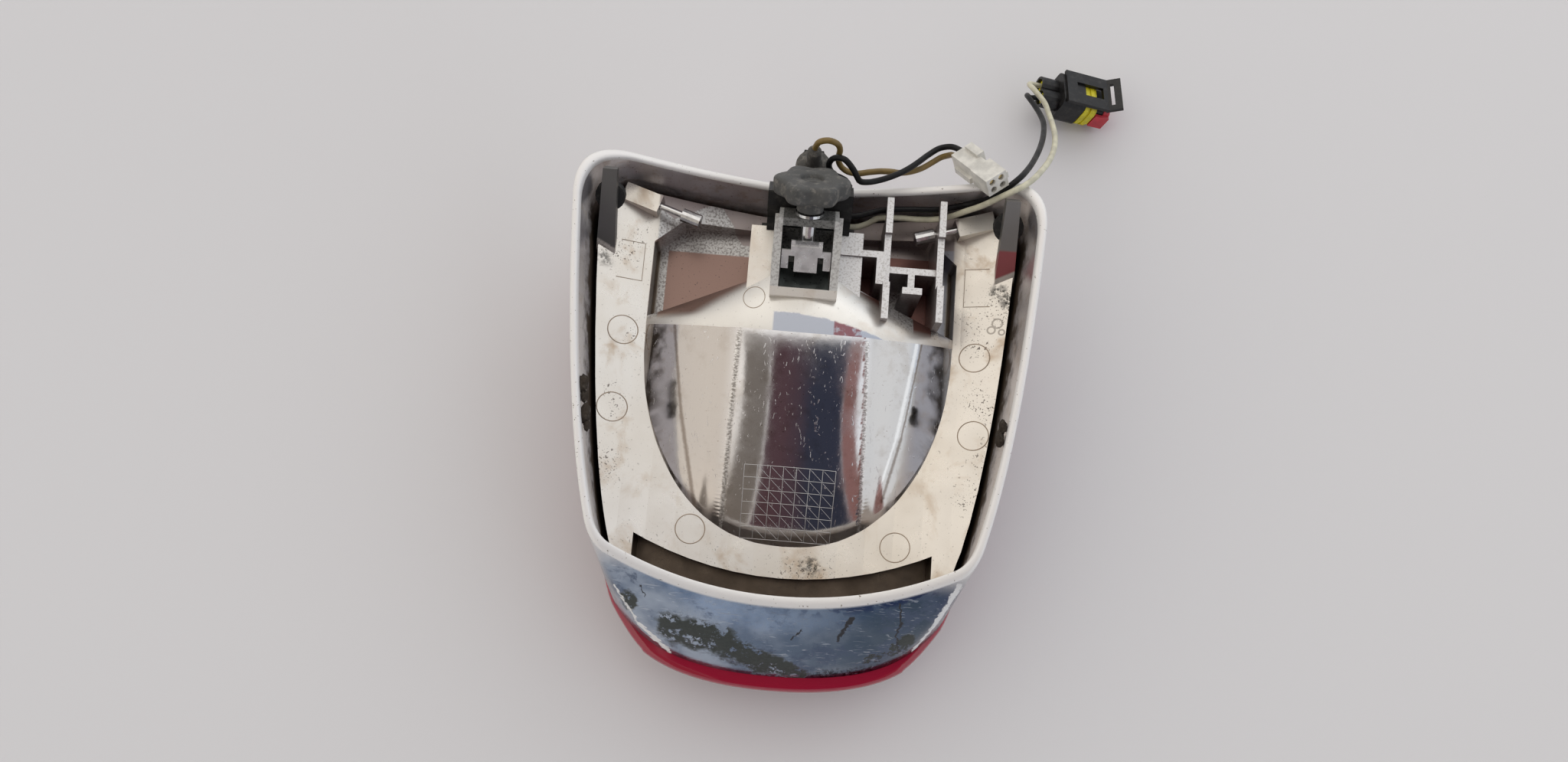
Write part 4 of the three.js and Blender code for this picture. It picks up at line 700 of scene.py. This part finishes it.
def faces_between(loops, closed):
    """Faces that join loops of as many points each, and the last loop to the first if closed."""
    count = len(loops[0])
    faces = []
    for level in range(len(loops) if closed else len(loops) - 1):
        after = (level + 1) % len(loops)
        for i in range(count):
            j = (i + 1) % count
            faces.append((level * count + i, level * count + j, after * count + j, after * count + i))
    return faces


def add_bezel():
    levels, lip, turns = 14, 1.2, 6
    lip_share = 1 - lip / (RIM_LOW - JOINT_HEIGHT)
    wall = [bezel_loop(lip_share * i / levels) for i in range(levels + 1)]
    top = bezel_loop(1)
    inner = shrunk(top, BEZEL_WALL)
    crest = [a.lerp(b, lip / BEZEL_WALL) for a, b in zip(top, inner)]
    inner_crest = [b.lerp(a, lip / BEZEL_WALL) for a, b in zip(top, inner)]
    inner_wall = [shrunk(loop, BEZEL_WALL) for loop in wall]
    outer_lip = fillet(wall[-1], top, crest, turns)
    inner_lip = fillet(inner_crest, inner, inner_wall[-1], turns)
    loops = [*wall[:-1], *outer_lip, *inner_lip, *reversed(inner_wall[:-1])]
    first_inside = len(wall) + len(outer_lip) + turns - 1
    points = [p for loop in loops for p in loop]
    bezel = add_mesh("bezel", points, faces_between(loops, True), "chrome", 50)
    bezel.data.materials.append(looks["bezel_inside"].material)
    for number, polygon in enumerate(bezel.data.polygons):
        polygon.material_index = int(number >= first_inside * len(rim))
    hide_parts("trim_bezel")


def lens_loop(share, height, inset=0.0):
    loop = []
    for p, out, rim_out in zip(joint, joint_normals, rim_normals):
        reach = LENS_OVERHANG + LENS_HOOD_OVERHANG * max(0, -rim_out.y) ** HOOD_POWER - inset
        flat = (p + out * reach) * share
        loop.append(Vector((flat.x, flat.y, height)))
    return loop


def add_lens():
    """The red bowl: a smooth outer face, a rounded top edge, a wide lip and an even wall."""
    levels = [(p.x, p.y) for p in along([Vector((share, level, 0)) for share, level in LENS_LEVELS], 4)]
    outer = [lens_loop(share, level * LENS_TOP) for share, level in levels]
    top = fillet(outer[-1], lens_loop(1, LENS_TOP), lens_loop(1, LENS_TOP, 2 * LENS_TOP_INSET), 5)
    ceiling = LENS_TOP - LENS_LIP_THICKNESS
    mouth = shrunk([Vector((p.x, p.y, LENS_TOP)) for p in joint], LENS_LIP_WIDTH)
    under = [Vector((p.x, p.y, ceiling)) for p in mouth]
    inner = [shrunk(lens_loop(share, level * LENS_TOP + LENS_WALL), LENS_WALL)
             for share, level in levels if level * LENS_TOP < ceiling - LENS_WALL]
    loops = [*outer, *top[1:], mouth, under, shrunk(lens_loop(1, ceiling), LENS_WALL), *reversed(inner)]
    faces = faces_between(loops, False)
    last = (len(loops) - 1) * len(joint)
    faces += [tuple(reversed(range(len(joint)))), tuple(last + i for i in range(len(joint)))]
    lens = add_mesh("lens", [p for loop in loops for p in loop], faces, "lens", 40)
    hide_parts("lens")


add_bezel()
add_lens()


# Reflector: a fine skin over the dome and its shoulder, with a flat middle, fluted sides and knurled creases

SKIN_LIFT, DOME_LIFT, SKIN_DEPTH, SKIN_FADE = 0.12, 0.42, 1.1, 0.05
EDGE_RISE, EDGE_RISE_FROM, EDGE_RISE_REACH = 0.8, 10, 6
VALLEY_WIDTH, VALLEY_DEPTH = 9, 0.26
KNURL_WIDTH, KNURL_HEIGHT, KNURL_PITCH = 2.6, 0.13, 1.15
SEARCH_STEPS, SEARCH_PACE = 40, 0.8


def dome_foot(share):
    x = DOME_HALF_WIDTH * share * (FLANK_SHARE + (1 - FLANK_SHARE) * share * share)
    round_share = math.sqrt(max(0, 1 - abs(x / DOME_HALF_WIDTH) ** OVAL_POWER))
    return Vector((x, ARCH_Y - (ARCH_Y + DOME_NEAR) * round_share, flange_height(x) - 0.3))


def dome_arch(share):
    side = abs(share)
    return Vector((DOME_HALF_WIDTH * share, ARCH_Y + ARCH_BOW * side * side,
                   mix(ARCH_TOP, flange_height(DOME_HALF_WIDTH), side ** FALL_POWER)))


def shoulder_ridge(share):
    side = abs(share)
    return Vector((DOME_HALF_WIDTH * share,
                   mix(RIDGE_Y, ARCH_Y + 2 * ARCH_BOW, side ** RIDGE_BOW_POWER),
                   mix(RIDGE_TOP, flange_height(DOME_HALF_WIDTH) - 0.3, side ** RIDGE_FALL_POWER)))


def crease_at(y):
    """Where the knurled creases run, left and right of the dome's middle."""
    share = (y + DOME_NEAR) / (ARCH_Y + DOME_NEAR)
    return mix(-20.6, -19.4, share), mix(24.4, 21.4, share)


def dome_relief(x, y):
    """Height over the smooth dome: a flat middle, a soft valley outside each crease and its knurls."""
    left, right = crease_at(y)
    rise = EDGE_RISE * max(0.0, (y - EDGE_RISE_FROM) / (ARCH_Y - EDGE_RISE_FROM)) ** 2
    if left < x < right:
        return rise
    out = left - x if x < left else x - right
    valley = -VALLEY_DEPTH * math.sin(min(1.0, out / VALLEY_WIDTH) * math.pi) ** 2
    knurl = 0.0
    if out < KNURL_WIDTH:
        wave = 0.5 + 0.5 * math.cos(2 * math.pi * y / KNURL_PITCH)
        knurl = KNURL_HEIGHT * wave * (1 - (out / KNURL_WIDTH) ** 2)
    return valley + knurl + rise * max(0.0, 1 - out / EDGE_RISE_REACH)


def skin(name, rows, look):
    """A thin closed shell from a grid of points on its upper side."""
    height, width = len(rows), len(rows[0])
    top = [p for row in rows for p in row]
    bottom = [p - Vector((0, 0, SKIN_DEPTH)) for p in top]
    under = height * width
    faces = []
    for r in range(height - 1):
        for c in range(width - 1):
            a = r * width + c
            faces.append((a, a + 1, a + width + 1, a + width))
            faces.append((under + a, under + a + width, under + a + width + 1, under + a + 1))
    edge = [*range(width - 1), *range(width - 1, under - 1, width),
            *range(under - 1, under - width, -1), *range(under - width, 0, -width)]
    for a, b in zip(edge, [*edge[1:], 0]):
        faces.append((a, under + a, under + b, b))
    return add_mesh(name, [*top, *bottom], faces, look)


def dome_point(share, v):
    """A point on the dome's skin, from its foot at v 0 to the fluted edge at v 1."""
    a, b = dome_foot(share), dome_arch(share)
    p = Vector((mix(a.x, b.x, v), mix(a.y, b.y, v), mix(a.z, b.z, 1 - (1 - v) ** ROUND_POWER)))
    edge = min(1.0, v / SKIN_FADE, (1 - abs(share)) / SKIN_FADE)
    p.z += mix(SKIN_LIFT, DOME_LIFT, edge) + dome_relief(p.x, p.y) * edge
    return p


def dome_height(x, y):
    """The skin's height over a place in plan, found by stepping."""
    share, v = x / DOME_HALF_WIDTH, 0.5
    for _ in range(SEARCH_STEPS):
        p = dome_point(share, v)
        share += SEARCH_PACE * (x - p.x) / DOME_HALF_WIDTH
        v = min(1, max(0, v + SEARCH_PACE * (y - p.y) / (ARCH_Y + DOME_NEAR)))
    return dome_point(share, v).z


def shoulder_point(share, v):
    a, b = dome_arch(share), shoulder_ridge(share)
    p = Vector((mix(a.x, b.x, v), mix(a.y, b.y, v), mix(a.z, b.z, v ** ROUND_POWER)))
    p.z += SKIN_LIFT + 0.22 * math.sin(math.pi * min(1, v * 1.02))
    return p


def shoulder_height(x, y):
    v = 0.3
    for _ in range(SEARCH_STEPS):
        p = shoulder_point(x / DOME_HALF_WIDTH, v)
        v = min(1, max(0, v + SEARCH_PACE * (y - p.y) / (RIDGE_Y - ARCH_Y)))
    return p.z


def grid_of(point_at, columns, rows, reach, top):
    """Rows of points over a surface, from -reach to reach across it and from 0 to top up it."""
    return [[point_at(mix(-reach, reach, c / columns), mix(0.0, top, r / rows)) for c in range(columns + 1)]
            for r in range(rows + 1)]


def add_dome():
    skin("dome_skin", grid_of(dome_point, 150, 170, 0.995, 1.0), "dome")
    skin("shoulder_skin", grid_of(shoulder_point, 90, 24, 0.97, 0.97), "shoulder")


def add_curve(name, places, radius, rounding, look, closed=False):
    """A round line that rides on the light, through places in millimetres."""
    curve = bpy.data.curves.new(name, "CURVE")
    curve.dimensions = "3D"
    curve.bevel_depth = radius * MM
    curve.bevel_resolution = rounding
    curve.use_fill_caps = True
    spline = curve.splines.new("POLY")
    spline.points.add(len(places) - 1)
    for point, place in zip(spline.points, places):
        point.co = (*(Vector(place) * MM), 1)
    spline.use_cyclic_u = closed
    obj = in_scene(name, curve)
    curve.materials.append(looks[look].material)
    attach(obj, "light")
    return obj


def line(name, places, width, look, closed=False):
    """A raised line, half sunk in the reflector's surface."""
    add_curve(name, places, width / 2, 1, look, closed)


EJECTOR_MARKS = [(-58, 27), (58, 27), (-58.7, 1), (58.7, 1), (-30.3, -35.6), (36.3, -36.4)]
EJECTOR_RADIUS = 4.75
MARK_LIFT = 0.02


def ring_mark(name, middle, radii, sides, width, height_at):
    ring = []
    for i in range(sides):
        angle = 2 * math.pi * i / sides
        x, y = middle[0] + radii[0] * math.cos(angle), middle[1] + radii[1] * math.sin(angle)
        ring.append((x, y, height_at(x, y) + MARK_LIFT))
    line(name, ring, width, "mark", closed=True)


def add_marks():
    """Ring marks left by the mould on the shoulder and the flange, and its parting lines."""
    def on_flange(x, y):
        return flange_height(x)

    ring_mark("shoulder_mark", (-15.6, 38.6), (3.5, 4.0), 32, 0.24, shoulder_height)
    for number, middle in enumerate(EJECTOR_MARKS):
        ring_mark(f"ejector_mark_{number}", middle, (EJECTOR_RADIUS, EJECTOR_RADIUS), 40, 0.36, on_flange)
    for side in (-1, 1):
        square = [(61.5, 57.5), (53.8, 57.5), (53.8, 44.5), (62, 44.5)]
        line(f"parting_line_{side + 1}", [(side * x, y, flange_height(x) + MARK_LIFT) for x, y in square],
             0.3, "mark")


GRID_X, GRID_Y = (-14.2, 15.2), (-37, -14.5)
GRID_COLUMNS, GRID_ROWS, GRID_SPANS = 7, 6, 10
GRID_LIFT, GRID_WIDTH, STROKE_WIDTH, STROKE_GAP = 0.03, 0.17, 0.13, 0.4


def add_date_grid():
    """A plain grid of cells, most of them struck through, raised on the dome."""
    def over(x, y):
        return (x, y, dome_height(x, y) + GRID_LIFT)

    def draw(name, start, end, width=GRID_WIDTH):
        shares = [i / GRID_SPANS for i in range(GRID_SPANS + 1)]
        line(name, [over(*(mix(a, b, share) for a, b in zip(start, end))) for share in shares], width, "grid")

    (left, right), (low, high) = GRID_X, GRID_Y
    across, along = (right - left) / GRID_COLUMNS, (high - low) / GRID_ROWS
    for i in range(GRID_COLUMNS + 1):
        draw(f"grid_column_{i}", (left + i * across, low), (left + i * across, high))
    for i in range(GRID_ROWS + 1):
        draw(f"grid_row_{i}", (left, low + i * along), (right, low + i * along))
    for column in range(1, GRID_COLUMNS):
        for row in range(GRID_ROWS):
            x, y = left + column * across, low + row * along
            draw(f"grid_stroke_{column}_{row}", (x + STROKE_GAP, y + along - STROKE_GAP),
                 (x + across - STROKE_GAP, y + STROKE_GAP), STROKE_WIDTH)


BOWL_HALF_WIDTH, BOWL_NEAR, BOWL_FAR, BOWL_LIFT, BOWL_DEPTH, BOWL_CELLS = 7.9, 41.8, 51.5, 0.2, 0.9, 16


def bowl_point(side, share):
    dip = (1 - side * side) * math.sin(math.pi * share)
    y = mix(BOWL_NEAR, BOWL_FAR, share)
    under = shoulder_point(0, (y - ARCH_Y) / (RIDGE_Y - ARCH_Y)).z
    return Vector((BOWL_HALF_WIDTH * side, y, under + BOWL_LIFT + BOWL_DEPTH * (1 - dip)))


def add_channel_bowl():
    """The hollow at the near end of the stud's channel, dark with a painted reflection."""
    skin("channel_bowl", grid_of(bowl_point, BOWL_CELLS, BOWL_CELLS, 1, 1.0), "bowl")


DIRT = [(-1, 4.5, 2.0), (-1, 0.5, 1.5), (-1, -4.6, 2.2), (-1, -8.4, 1.4), (1, 1.6, 1.6), (1, -2.4, 1.9)]
DIRT_INSET, DIRT_BELOW = 3.9, 3.2


def add_dirt():
    """Lumps of dirt caught in the side grooves."""
    for number, (side, y, radius) in enumerate(DIRT):
        edge = min(rim, key=lambda p: abs(p.y - y) + (100 if p.x < 0 else 0)).x
        x, z = side * (edge - DIRT_INSET), rim_height(edge) - DIRT_BELOW
        points, faces = [], []
        rings, sides = 9, 14
        for r in range(rings + 1):
            tilt = math.pi * r / rings
            for s in range(sides):
                turn = 2 * math.pi * s / sides
                out = Vector((math.sin(tilt) * math.cos(turn), math.sin(tilt) * math.sin(turn),
                              math.cos(tilt)))
                rough = 1 + 0.42 * noise.noise(out * 2.3 + Vector((number * 5.1, 0, 0)))
                rough += 0.16 * noise.noise(out * 7 + Vector((0, number * 3.7, 0)))
                out = Vector((out.x * 0.75, out.y * 1.35, out.z * 0.8))
                points.append(Vector((x, y, z)) + out * radius * rough)
        for r in range(rings):
            for s in range(sides):
                a, b = r * sides + s, r * sides + (s + 1) % sides
                faces.append((a, a + sides, b + sides, b))
        add_mesh(f"dirt_{number}", points, faces, "dirt", 60)


# Knob: six soft lobes, a hub, and a round recess with a slot in its top

KNOB_Y, KNOB_Z, KNOB_LEAN = 70.3, 84, math.radians(48.6)
KNOB_RADIUS, KNOB_LOBE, KNOB_LOBES, KNOB_HALF, KNOB_EDGE, KNOB_TURNS = 11.2, 1.05, 6, 3, 1.5, 6
HUB_RADIUS, HUB_END, STUD_HOLE, STUD_SOCKET = 4.3, -8, 2.7, 4
KNOB_RECESS, KNOB_RECESS_DEPTH, KNOB_SLOT_WIDTH, KNOB_SLOT_DEPTH = 3.7, 1.6, 1.2, 1


def add_knob():
    sides = 144

    def loop(radius_at, height):
        points = []
        for i in range(sides):
            angle = 2 * math.pi * i / sides
            radius = radius_at(angle)
            points.append(Vector((radius * math.cos(angle), radius * math.sin(angle), height)))
        return points

    def lobed(inset):
        return lambda angle: KNOB_RADIUS + KNOB_LOBE * math.cos(KNOB_LOBES * angle) - inset

    def round_loop(radius, height):
        return loop(lambda angle: radius, height)

    socket_end = HUB_END + STUD_SOCKET
    loops = [round_loop(radius, height) for radius, height in (
        (0.01, socket_end), (STUD_HOLE, socket_end), (STUD_HOLE, HUB_END), (HUB_RADIUS - 0.4, HUB_END),
        (HUB_RADIUS, HUB_END + 0.4), (HUB_RADIUS, -KNOB_HALF - 0.5), (HUB_RADIUS + 0.5, -KNOB_HALF),
    )]
    turns = [math.pi / 2 * i / KNOB_TURNS for i in range(KNOB_TURNS + 1)]
    corner = [(KNOB_EDGE * (1 - math.sin(turn)), KNOB_EDGE * (1 - math.cos(turn))) for turn in turns]
    loops += [loop(lobed(inset), -KNOB_HALF + rise) for inset, rise in corner]
    loops += [loop(lobed(inset), KNOB_HALF - drop) for drop, inset in corner]
    floor = KNOB_HALF - KNOB_RECESS_DEPTH
    loops += [round_loop(KNOB_RECESS + wider, height) for wider, height in (
        (0.5, KNOB_HALF), (0, KNOB_HALF - 0.4), (-0.3, floor + 0.2), (-0.7, floor),
    )]
    # The slot: the floor's middle sinks between two straight sides
    slot = []
    for p in round_loop(KNOB_RECESS - KNOB_EDGE, floor):
        side = max(-KNOB_SLOT_WIDTH / 2, min(KNOB_SLOT_WIDTH / 2, p.y))
        slot.append(Vector((p.x, side, floor)))
    loops += [slot, [p - Vector((0, 0, KNOB_SLOT_DEPTH)) for p in slot],
              round_loop(0.01, floor - KNOB_SLOT_DEPTH)]
    onto = Matrix.Translation((0, KNOB_Y, KNOB_Z)) @ Matrix.Rotation(-KNOB_LEAN, 4, "X")
    points = []
    for p in (p for ring in loops for p in ring):
        worn = 0.16 * noise.noise(p * 0.55) + 0.07 * noise.noise(p * 1.9)
        flat = Vector((p.x, p.y, 0))
        out = flat.normalized() if flat.length > KNOB_RECESS + 1 and p.z > -KNOB_HALF - 0.1 else Vector()
        points.append(onto @ (p + out * (worn - 0.12)))
    knob = add_mesh("knob", points, faces_between(loops, False), "knob", 40, "knob")
    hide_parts("fixing_knob")


HOLDER_CAP_REACH, HOLDER_CAP_NARROWING = 88, 0.42


def add_holder():
    """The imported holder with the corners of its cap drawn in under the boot."""
    mesh = nodes["bulb_holder"].data.copy()
    holder = in_scene("holder", mesh)
    holder.matrix_world = nodes["bulb_holder"].matrix_world.copy()
    for vertex in mesh.vertices:
        if vertex.co.y > HOLDER_CAP_REACH * MM:
            vertex.co.x *= HOLDER_CAP_NARROWING
    round_edges(holder, edge_rounding["bulb_holder"])
    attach(holder, "light")
    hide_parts("bulb_holder")


add_dome()
add_knob()
add_holder()
add_marks()
add_date_grid()
add_channel_bowl()
add_dirt()


# Wires

def lying(roll, rise, turn, place):
    """How a connector lies: rolled about its length, its mouth raised, then turned in plan."""
    turns = Euler((math.radians(roll), math.radians(-rise), math.radians(turn)), "XYZ")
    return Matrix.Translation(place) @ turns.to_matrix().to_4x4()


TAIL_PLUG = lying(0, 35.6, -52.6, (53.5, 85.1, 73))
SEALED = lying(-13.4, -16.9, -1.4, (84.8, 144.2, 13))
PLUG_REAR, PLUG_PITCH, PLUG_RUN = -10.8, 3.2, 2.4
BORE_END, BARREL_PITCH, SEAL_RUN = 4.7, 5.6, 4.6
BOOT_LEAN = math.radians(13)
BOOT_TIP = Vector((0, 83.6, 69.1)) + Vector((0, math.sin(BOOT_LEAN), math.cos(BOOT_LEAN))) * 9.1


def wire_into(pose, side, pitch, end, run):
    return [pose @ Vector((end - back, side * pitch / 2, 0)) for back in (run, 0)]


routes = {
    "wire_khaki": [
        BOOT_TIP, (1.2, 86.4, 81.3), (4, 86.7, 82.4), (6.8, 86.4, 81.3), (8, 85.8, 78.6), (7.9, 84.9, 75.2),
        (8.1, 84.3, 71.9), (9.3, 83.6, 69.1), (11.5, 83, 67.3), (14.6, 82.9, 66.6), (18.6, 83.8, 66.4),
        (22.2, 84.5, 66.2), (25.5, 84.9, 65.6), (28.9, 85.2, 64.6), (32.6, 86.5, 63.2), (36.3, 88.7, 61.6),
        (39.6, 91.3, 60.7), (42.4, 93.2, 61.1), (44.5, 93.3, 63.1),
        *wire_into(TAIL_PLUG, -1, PLUG_PITCH, PLUG_REAR, PLUG_RUN),
    ],
    "wire_black_loop": [
        (11.4, 78.5, 67.5), (11.1, 79.6, 67.6), (9.6, 80.3, 68), (7.4, 80.8, 68.9), (5.5, 81.5, 71.4),
        (5, 82.3, 74.3), (5.9, 82.8, 77.3), (7.8, 82.5, 79.4), (9.8, 81.5, 80.5), (11.5, 80.1, 80),
        (13, 78.7, 78.8), (14.2, 77.7, 76.5), (15.4, 77.4, 73.8), (18.6, 78.6, 70.8), (22.9, 80.3, 69.8),
        (27.8, 82.9, 69), (31.4, 85.8, 67.4), (34.7, 89.2, 65.4), (38.1, 93.1, 62.9), (41.8, 96.1, 62),
        (45.4, 96.6, 62.9), *wire_into(TAIL_PLUG, 1, PLUG_PITCH, PLUG_REAR, PLUG_RUN),
    ],
    "wire_black_long": [
        (13.9, 70.6, 59.5), (16.3, 70.9, 59.5), (19.7, 72.1, 59.5), (24, 73.6, 59.1), (30.5, 74.6, 58.9),
        (37, 75.1, 59), (42.5, 75.5, 59.2), (47.1, 76.6, 59.2), (51.7, 77.7, 59.7), (55.6, 78, 62.7),
        (57.8, 77.4, 67.7), (60.3, 77.8, 72.4), (62.7, 78.9, 74.9), (66.1, 82, 75.4), (70.2, 88.2, 69.5),
        (74, 95.6, 61.8), (77.6, 104.2, 52.8), (80.2, 112.4, 44.4), (81.7, 120.5, 36.5), (81.4, 126.9, 30.5),
        (80.1, 132.4, 26.1), (78.9, 136.6, 22.6), (79, 139.3, 18.9), (81.2, 140.3, 15.1),
        *wire_into(SEALED, -1, BARREL_PITCH, BORE_END, SEAL_RUN),
    ],
    "wire_cream": [
        (13.9, 68.2, 55.4), (16.3, 68.5, 55.4), (19.8, 69.8, 55.8), (23.2, 71.8, 56.3), (30, 72.6, 56.2),
        (36.5, 72.6, 56.2), (42.5, 73, 56.7), (47, 73.7, 58.4), (51.4, 74.6, 62), (55.8, 74.8, 67.6),
        (59.8, 75.4, 73.5), (63.9, 76.8, 77.1), (67.1, 78.7, 77.3), (71.1, 82.9, 74), (74.9, 88.5, 68.4),
        (79, 95.7, 60.9), (82.3, 103.8, 52.3), (84.3, 111.7, 44.2), (85.1, 119.6, 36.6), (85, 127.1, 30),
        (84.4, 134.2, 24.5), (81.4, 140.2, 21.4), (80.6, 145.9, 15.2),
        *wire_into(SEALED, 1, BARREL_PITCH, BORE_END, SEAL_RUN),
    ],
}


def add_wire(node, look):
    path = along(routes[node])
    wire = add_curve(node + "_sheath", path, WIRE_RADIUS, 4, look)
    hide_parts(node)
    length = round(sum((b - a).length for a, b in zip(path, path[1:])) * MM, 4)


add_wire("wire_khaki", "wire_khaki")
add_wire("wire_black_loop", "wire_black")
add_wire("wire_black_long", "wire_black")
add_wire("wire_cream", "wire_cream")


# Stage, light and camera

FLOOR_HALF, FLOOR_DROP = 3.0, 0.0003


def add_floor():
    mesh = bpy.data.meshes.new("floor")
    corners = [(-1, -1), (1, -1), (1, 1), (-1, 1)]
    mesh.from_pydata([(x * FLOOR_HALF, y * FLOOR_HALF, 0) for x, y in corners], [], [(0, 1, 2, 3)])
    floor = in_scene("floor", mesh)
    floor.location.z = -FLOOR_DROP
    mesh.materials.append(Look("floor", (0.765, 0.77, 0.795), 0.6).material)


def add_lamp(name, place, target, size, power, colour):
    data = bpy.data.lights.new(name, "AREA")
    data.shape = "RECTANGLE"
    data.size, data.size_y = size
    data.energy = power
    data.color = colour
    lamp = in_scene(name, data)
    lamp.location = place
    lamp.rotation_euler = (Vector(target) - Vector(place)).to_track_quat("-Z", "Y").to_euler()


def add_world():
    """A room by direction: warm above, cooler to the near side, with a dark figure at the near side."""
    scene.world = bpy.data.worlds.new("studio")
    scene.world.use_nodes = True
    sky = Tree(scene.world.node_tree, "Generated")
    x, y, z = sky.axes()
    near = sky.times(sky.ramp(y, 0.03, -0.03), sky.ramp(z, 0.2, 0.32))

    def shape(low, high, share):
        """An upright shape at the near side, between two directions."""
        return sky.times(sky.band(x, low, high, 0.03), near, share)

    room = sky.layers(
        (0.42, 0.47, 0.56),
        (sky.ramp(z, -0.1, 0.75), (1.0, 0.965, 0.92)),
        (sky.times(sky.ramp(x, 0.18, 0.42), 0.5), (0.86, 0.91, 0.99)),
        (sky.times(sky.ramp(x, -0.1, -0.4), 0.5), (1.06, 0.97, 0.86)),
        (shape(-0.36, -0.17, 0.92), (0.13, 0.105, 0.085)),
        (shape(0.38, 0.47, 0.92), (0.22, 0.075, 0.06)),
        (shape(-0.13, 0.35, 0.98),
         sky.mix(sky.ramp(x, -0.04, 0.12), (0.075, 0.034, 0.042), (0.018, 0.022, 0.044))),
    )
    background = scene.world.node_tree.nodes["Background"]
    sky.link(room, background.inputs["Color"])
    background.inputs["Strength"].default_value = 1.0


CAMERA_PITCH, CAMERA_ROLL, CAMERA_PLACE = math.radians(12), math.radians(4.68), (-0.00379, -0.066, 0.431)
FOCAL_PIXELS, FRAME_PIXELS, SENSOR_WIDTH = 1540, 2048, 36


def add_camera():
    forward = Vector((0, math.sin(CAMERA_PITCH), -math.cos(CAMERA_PITCH)))
    level = Vector((1, 0, 0))
    up = level.cross(forward)
    right = math.cos(CAMERA_ROLL) * level + math.sin(CAMERA_ROLL) * up
    above = math.cos(CAMERA_ROLL) * up - math.sin(CAMERA_ROLL) * level
    data = bpy.data.cameras.new("camera")
    data.sensor_width = SENSOR_WIDTH
    data.lens = FOCAL_PIXELS / FRAME_PIXELS * SENSOR_WIDTH
    data.clip_start = 0.01
    camera = in_scene("camera", data)
    turn = Matrix((right, above, -forward)).transposed()
    camera.matrix_world = Matrix.Translation(CAMERA_PLACE) @ turn.to_4x4()
    scene.camera = camera


add_floor()
add_lamp("key", (0.3, 1.3, 0.9), (0, 0, 0.05), (1.8, 1.0), 3, (1.0, 0.97, 0.93))
add_world()
add_camera()
scene.view_settings.view_transform = "Standard"
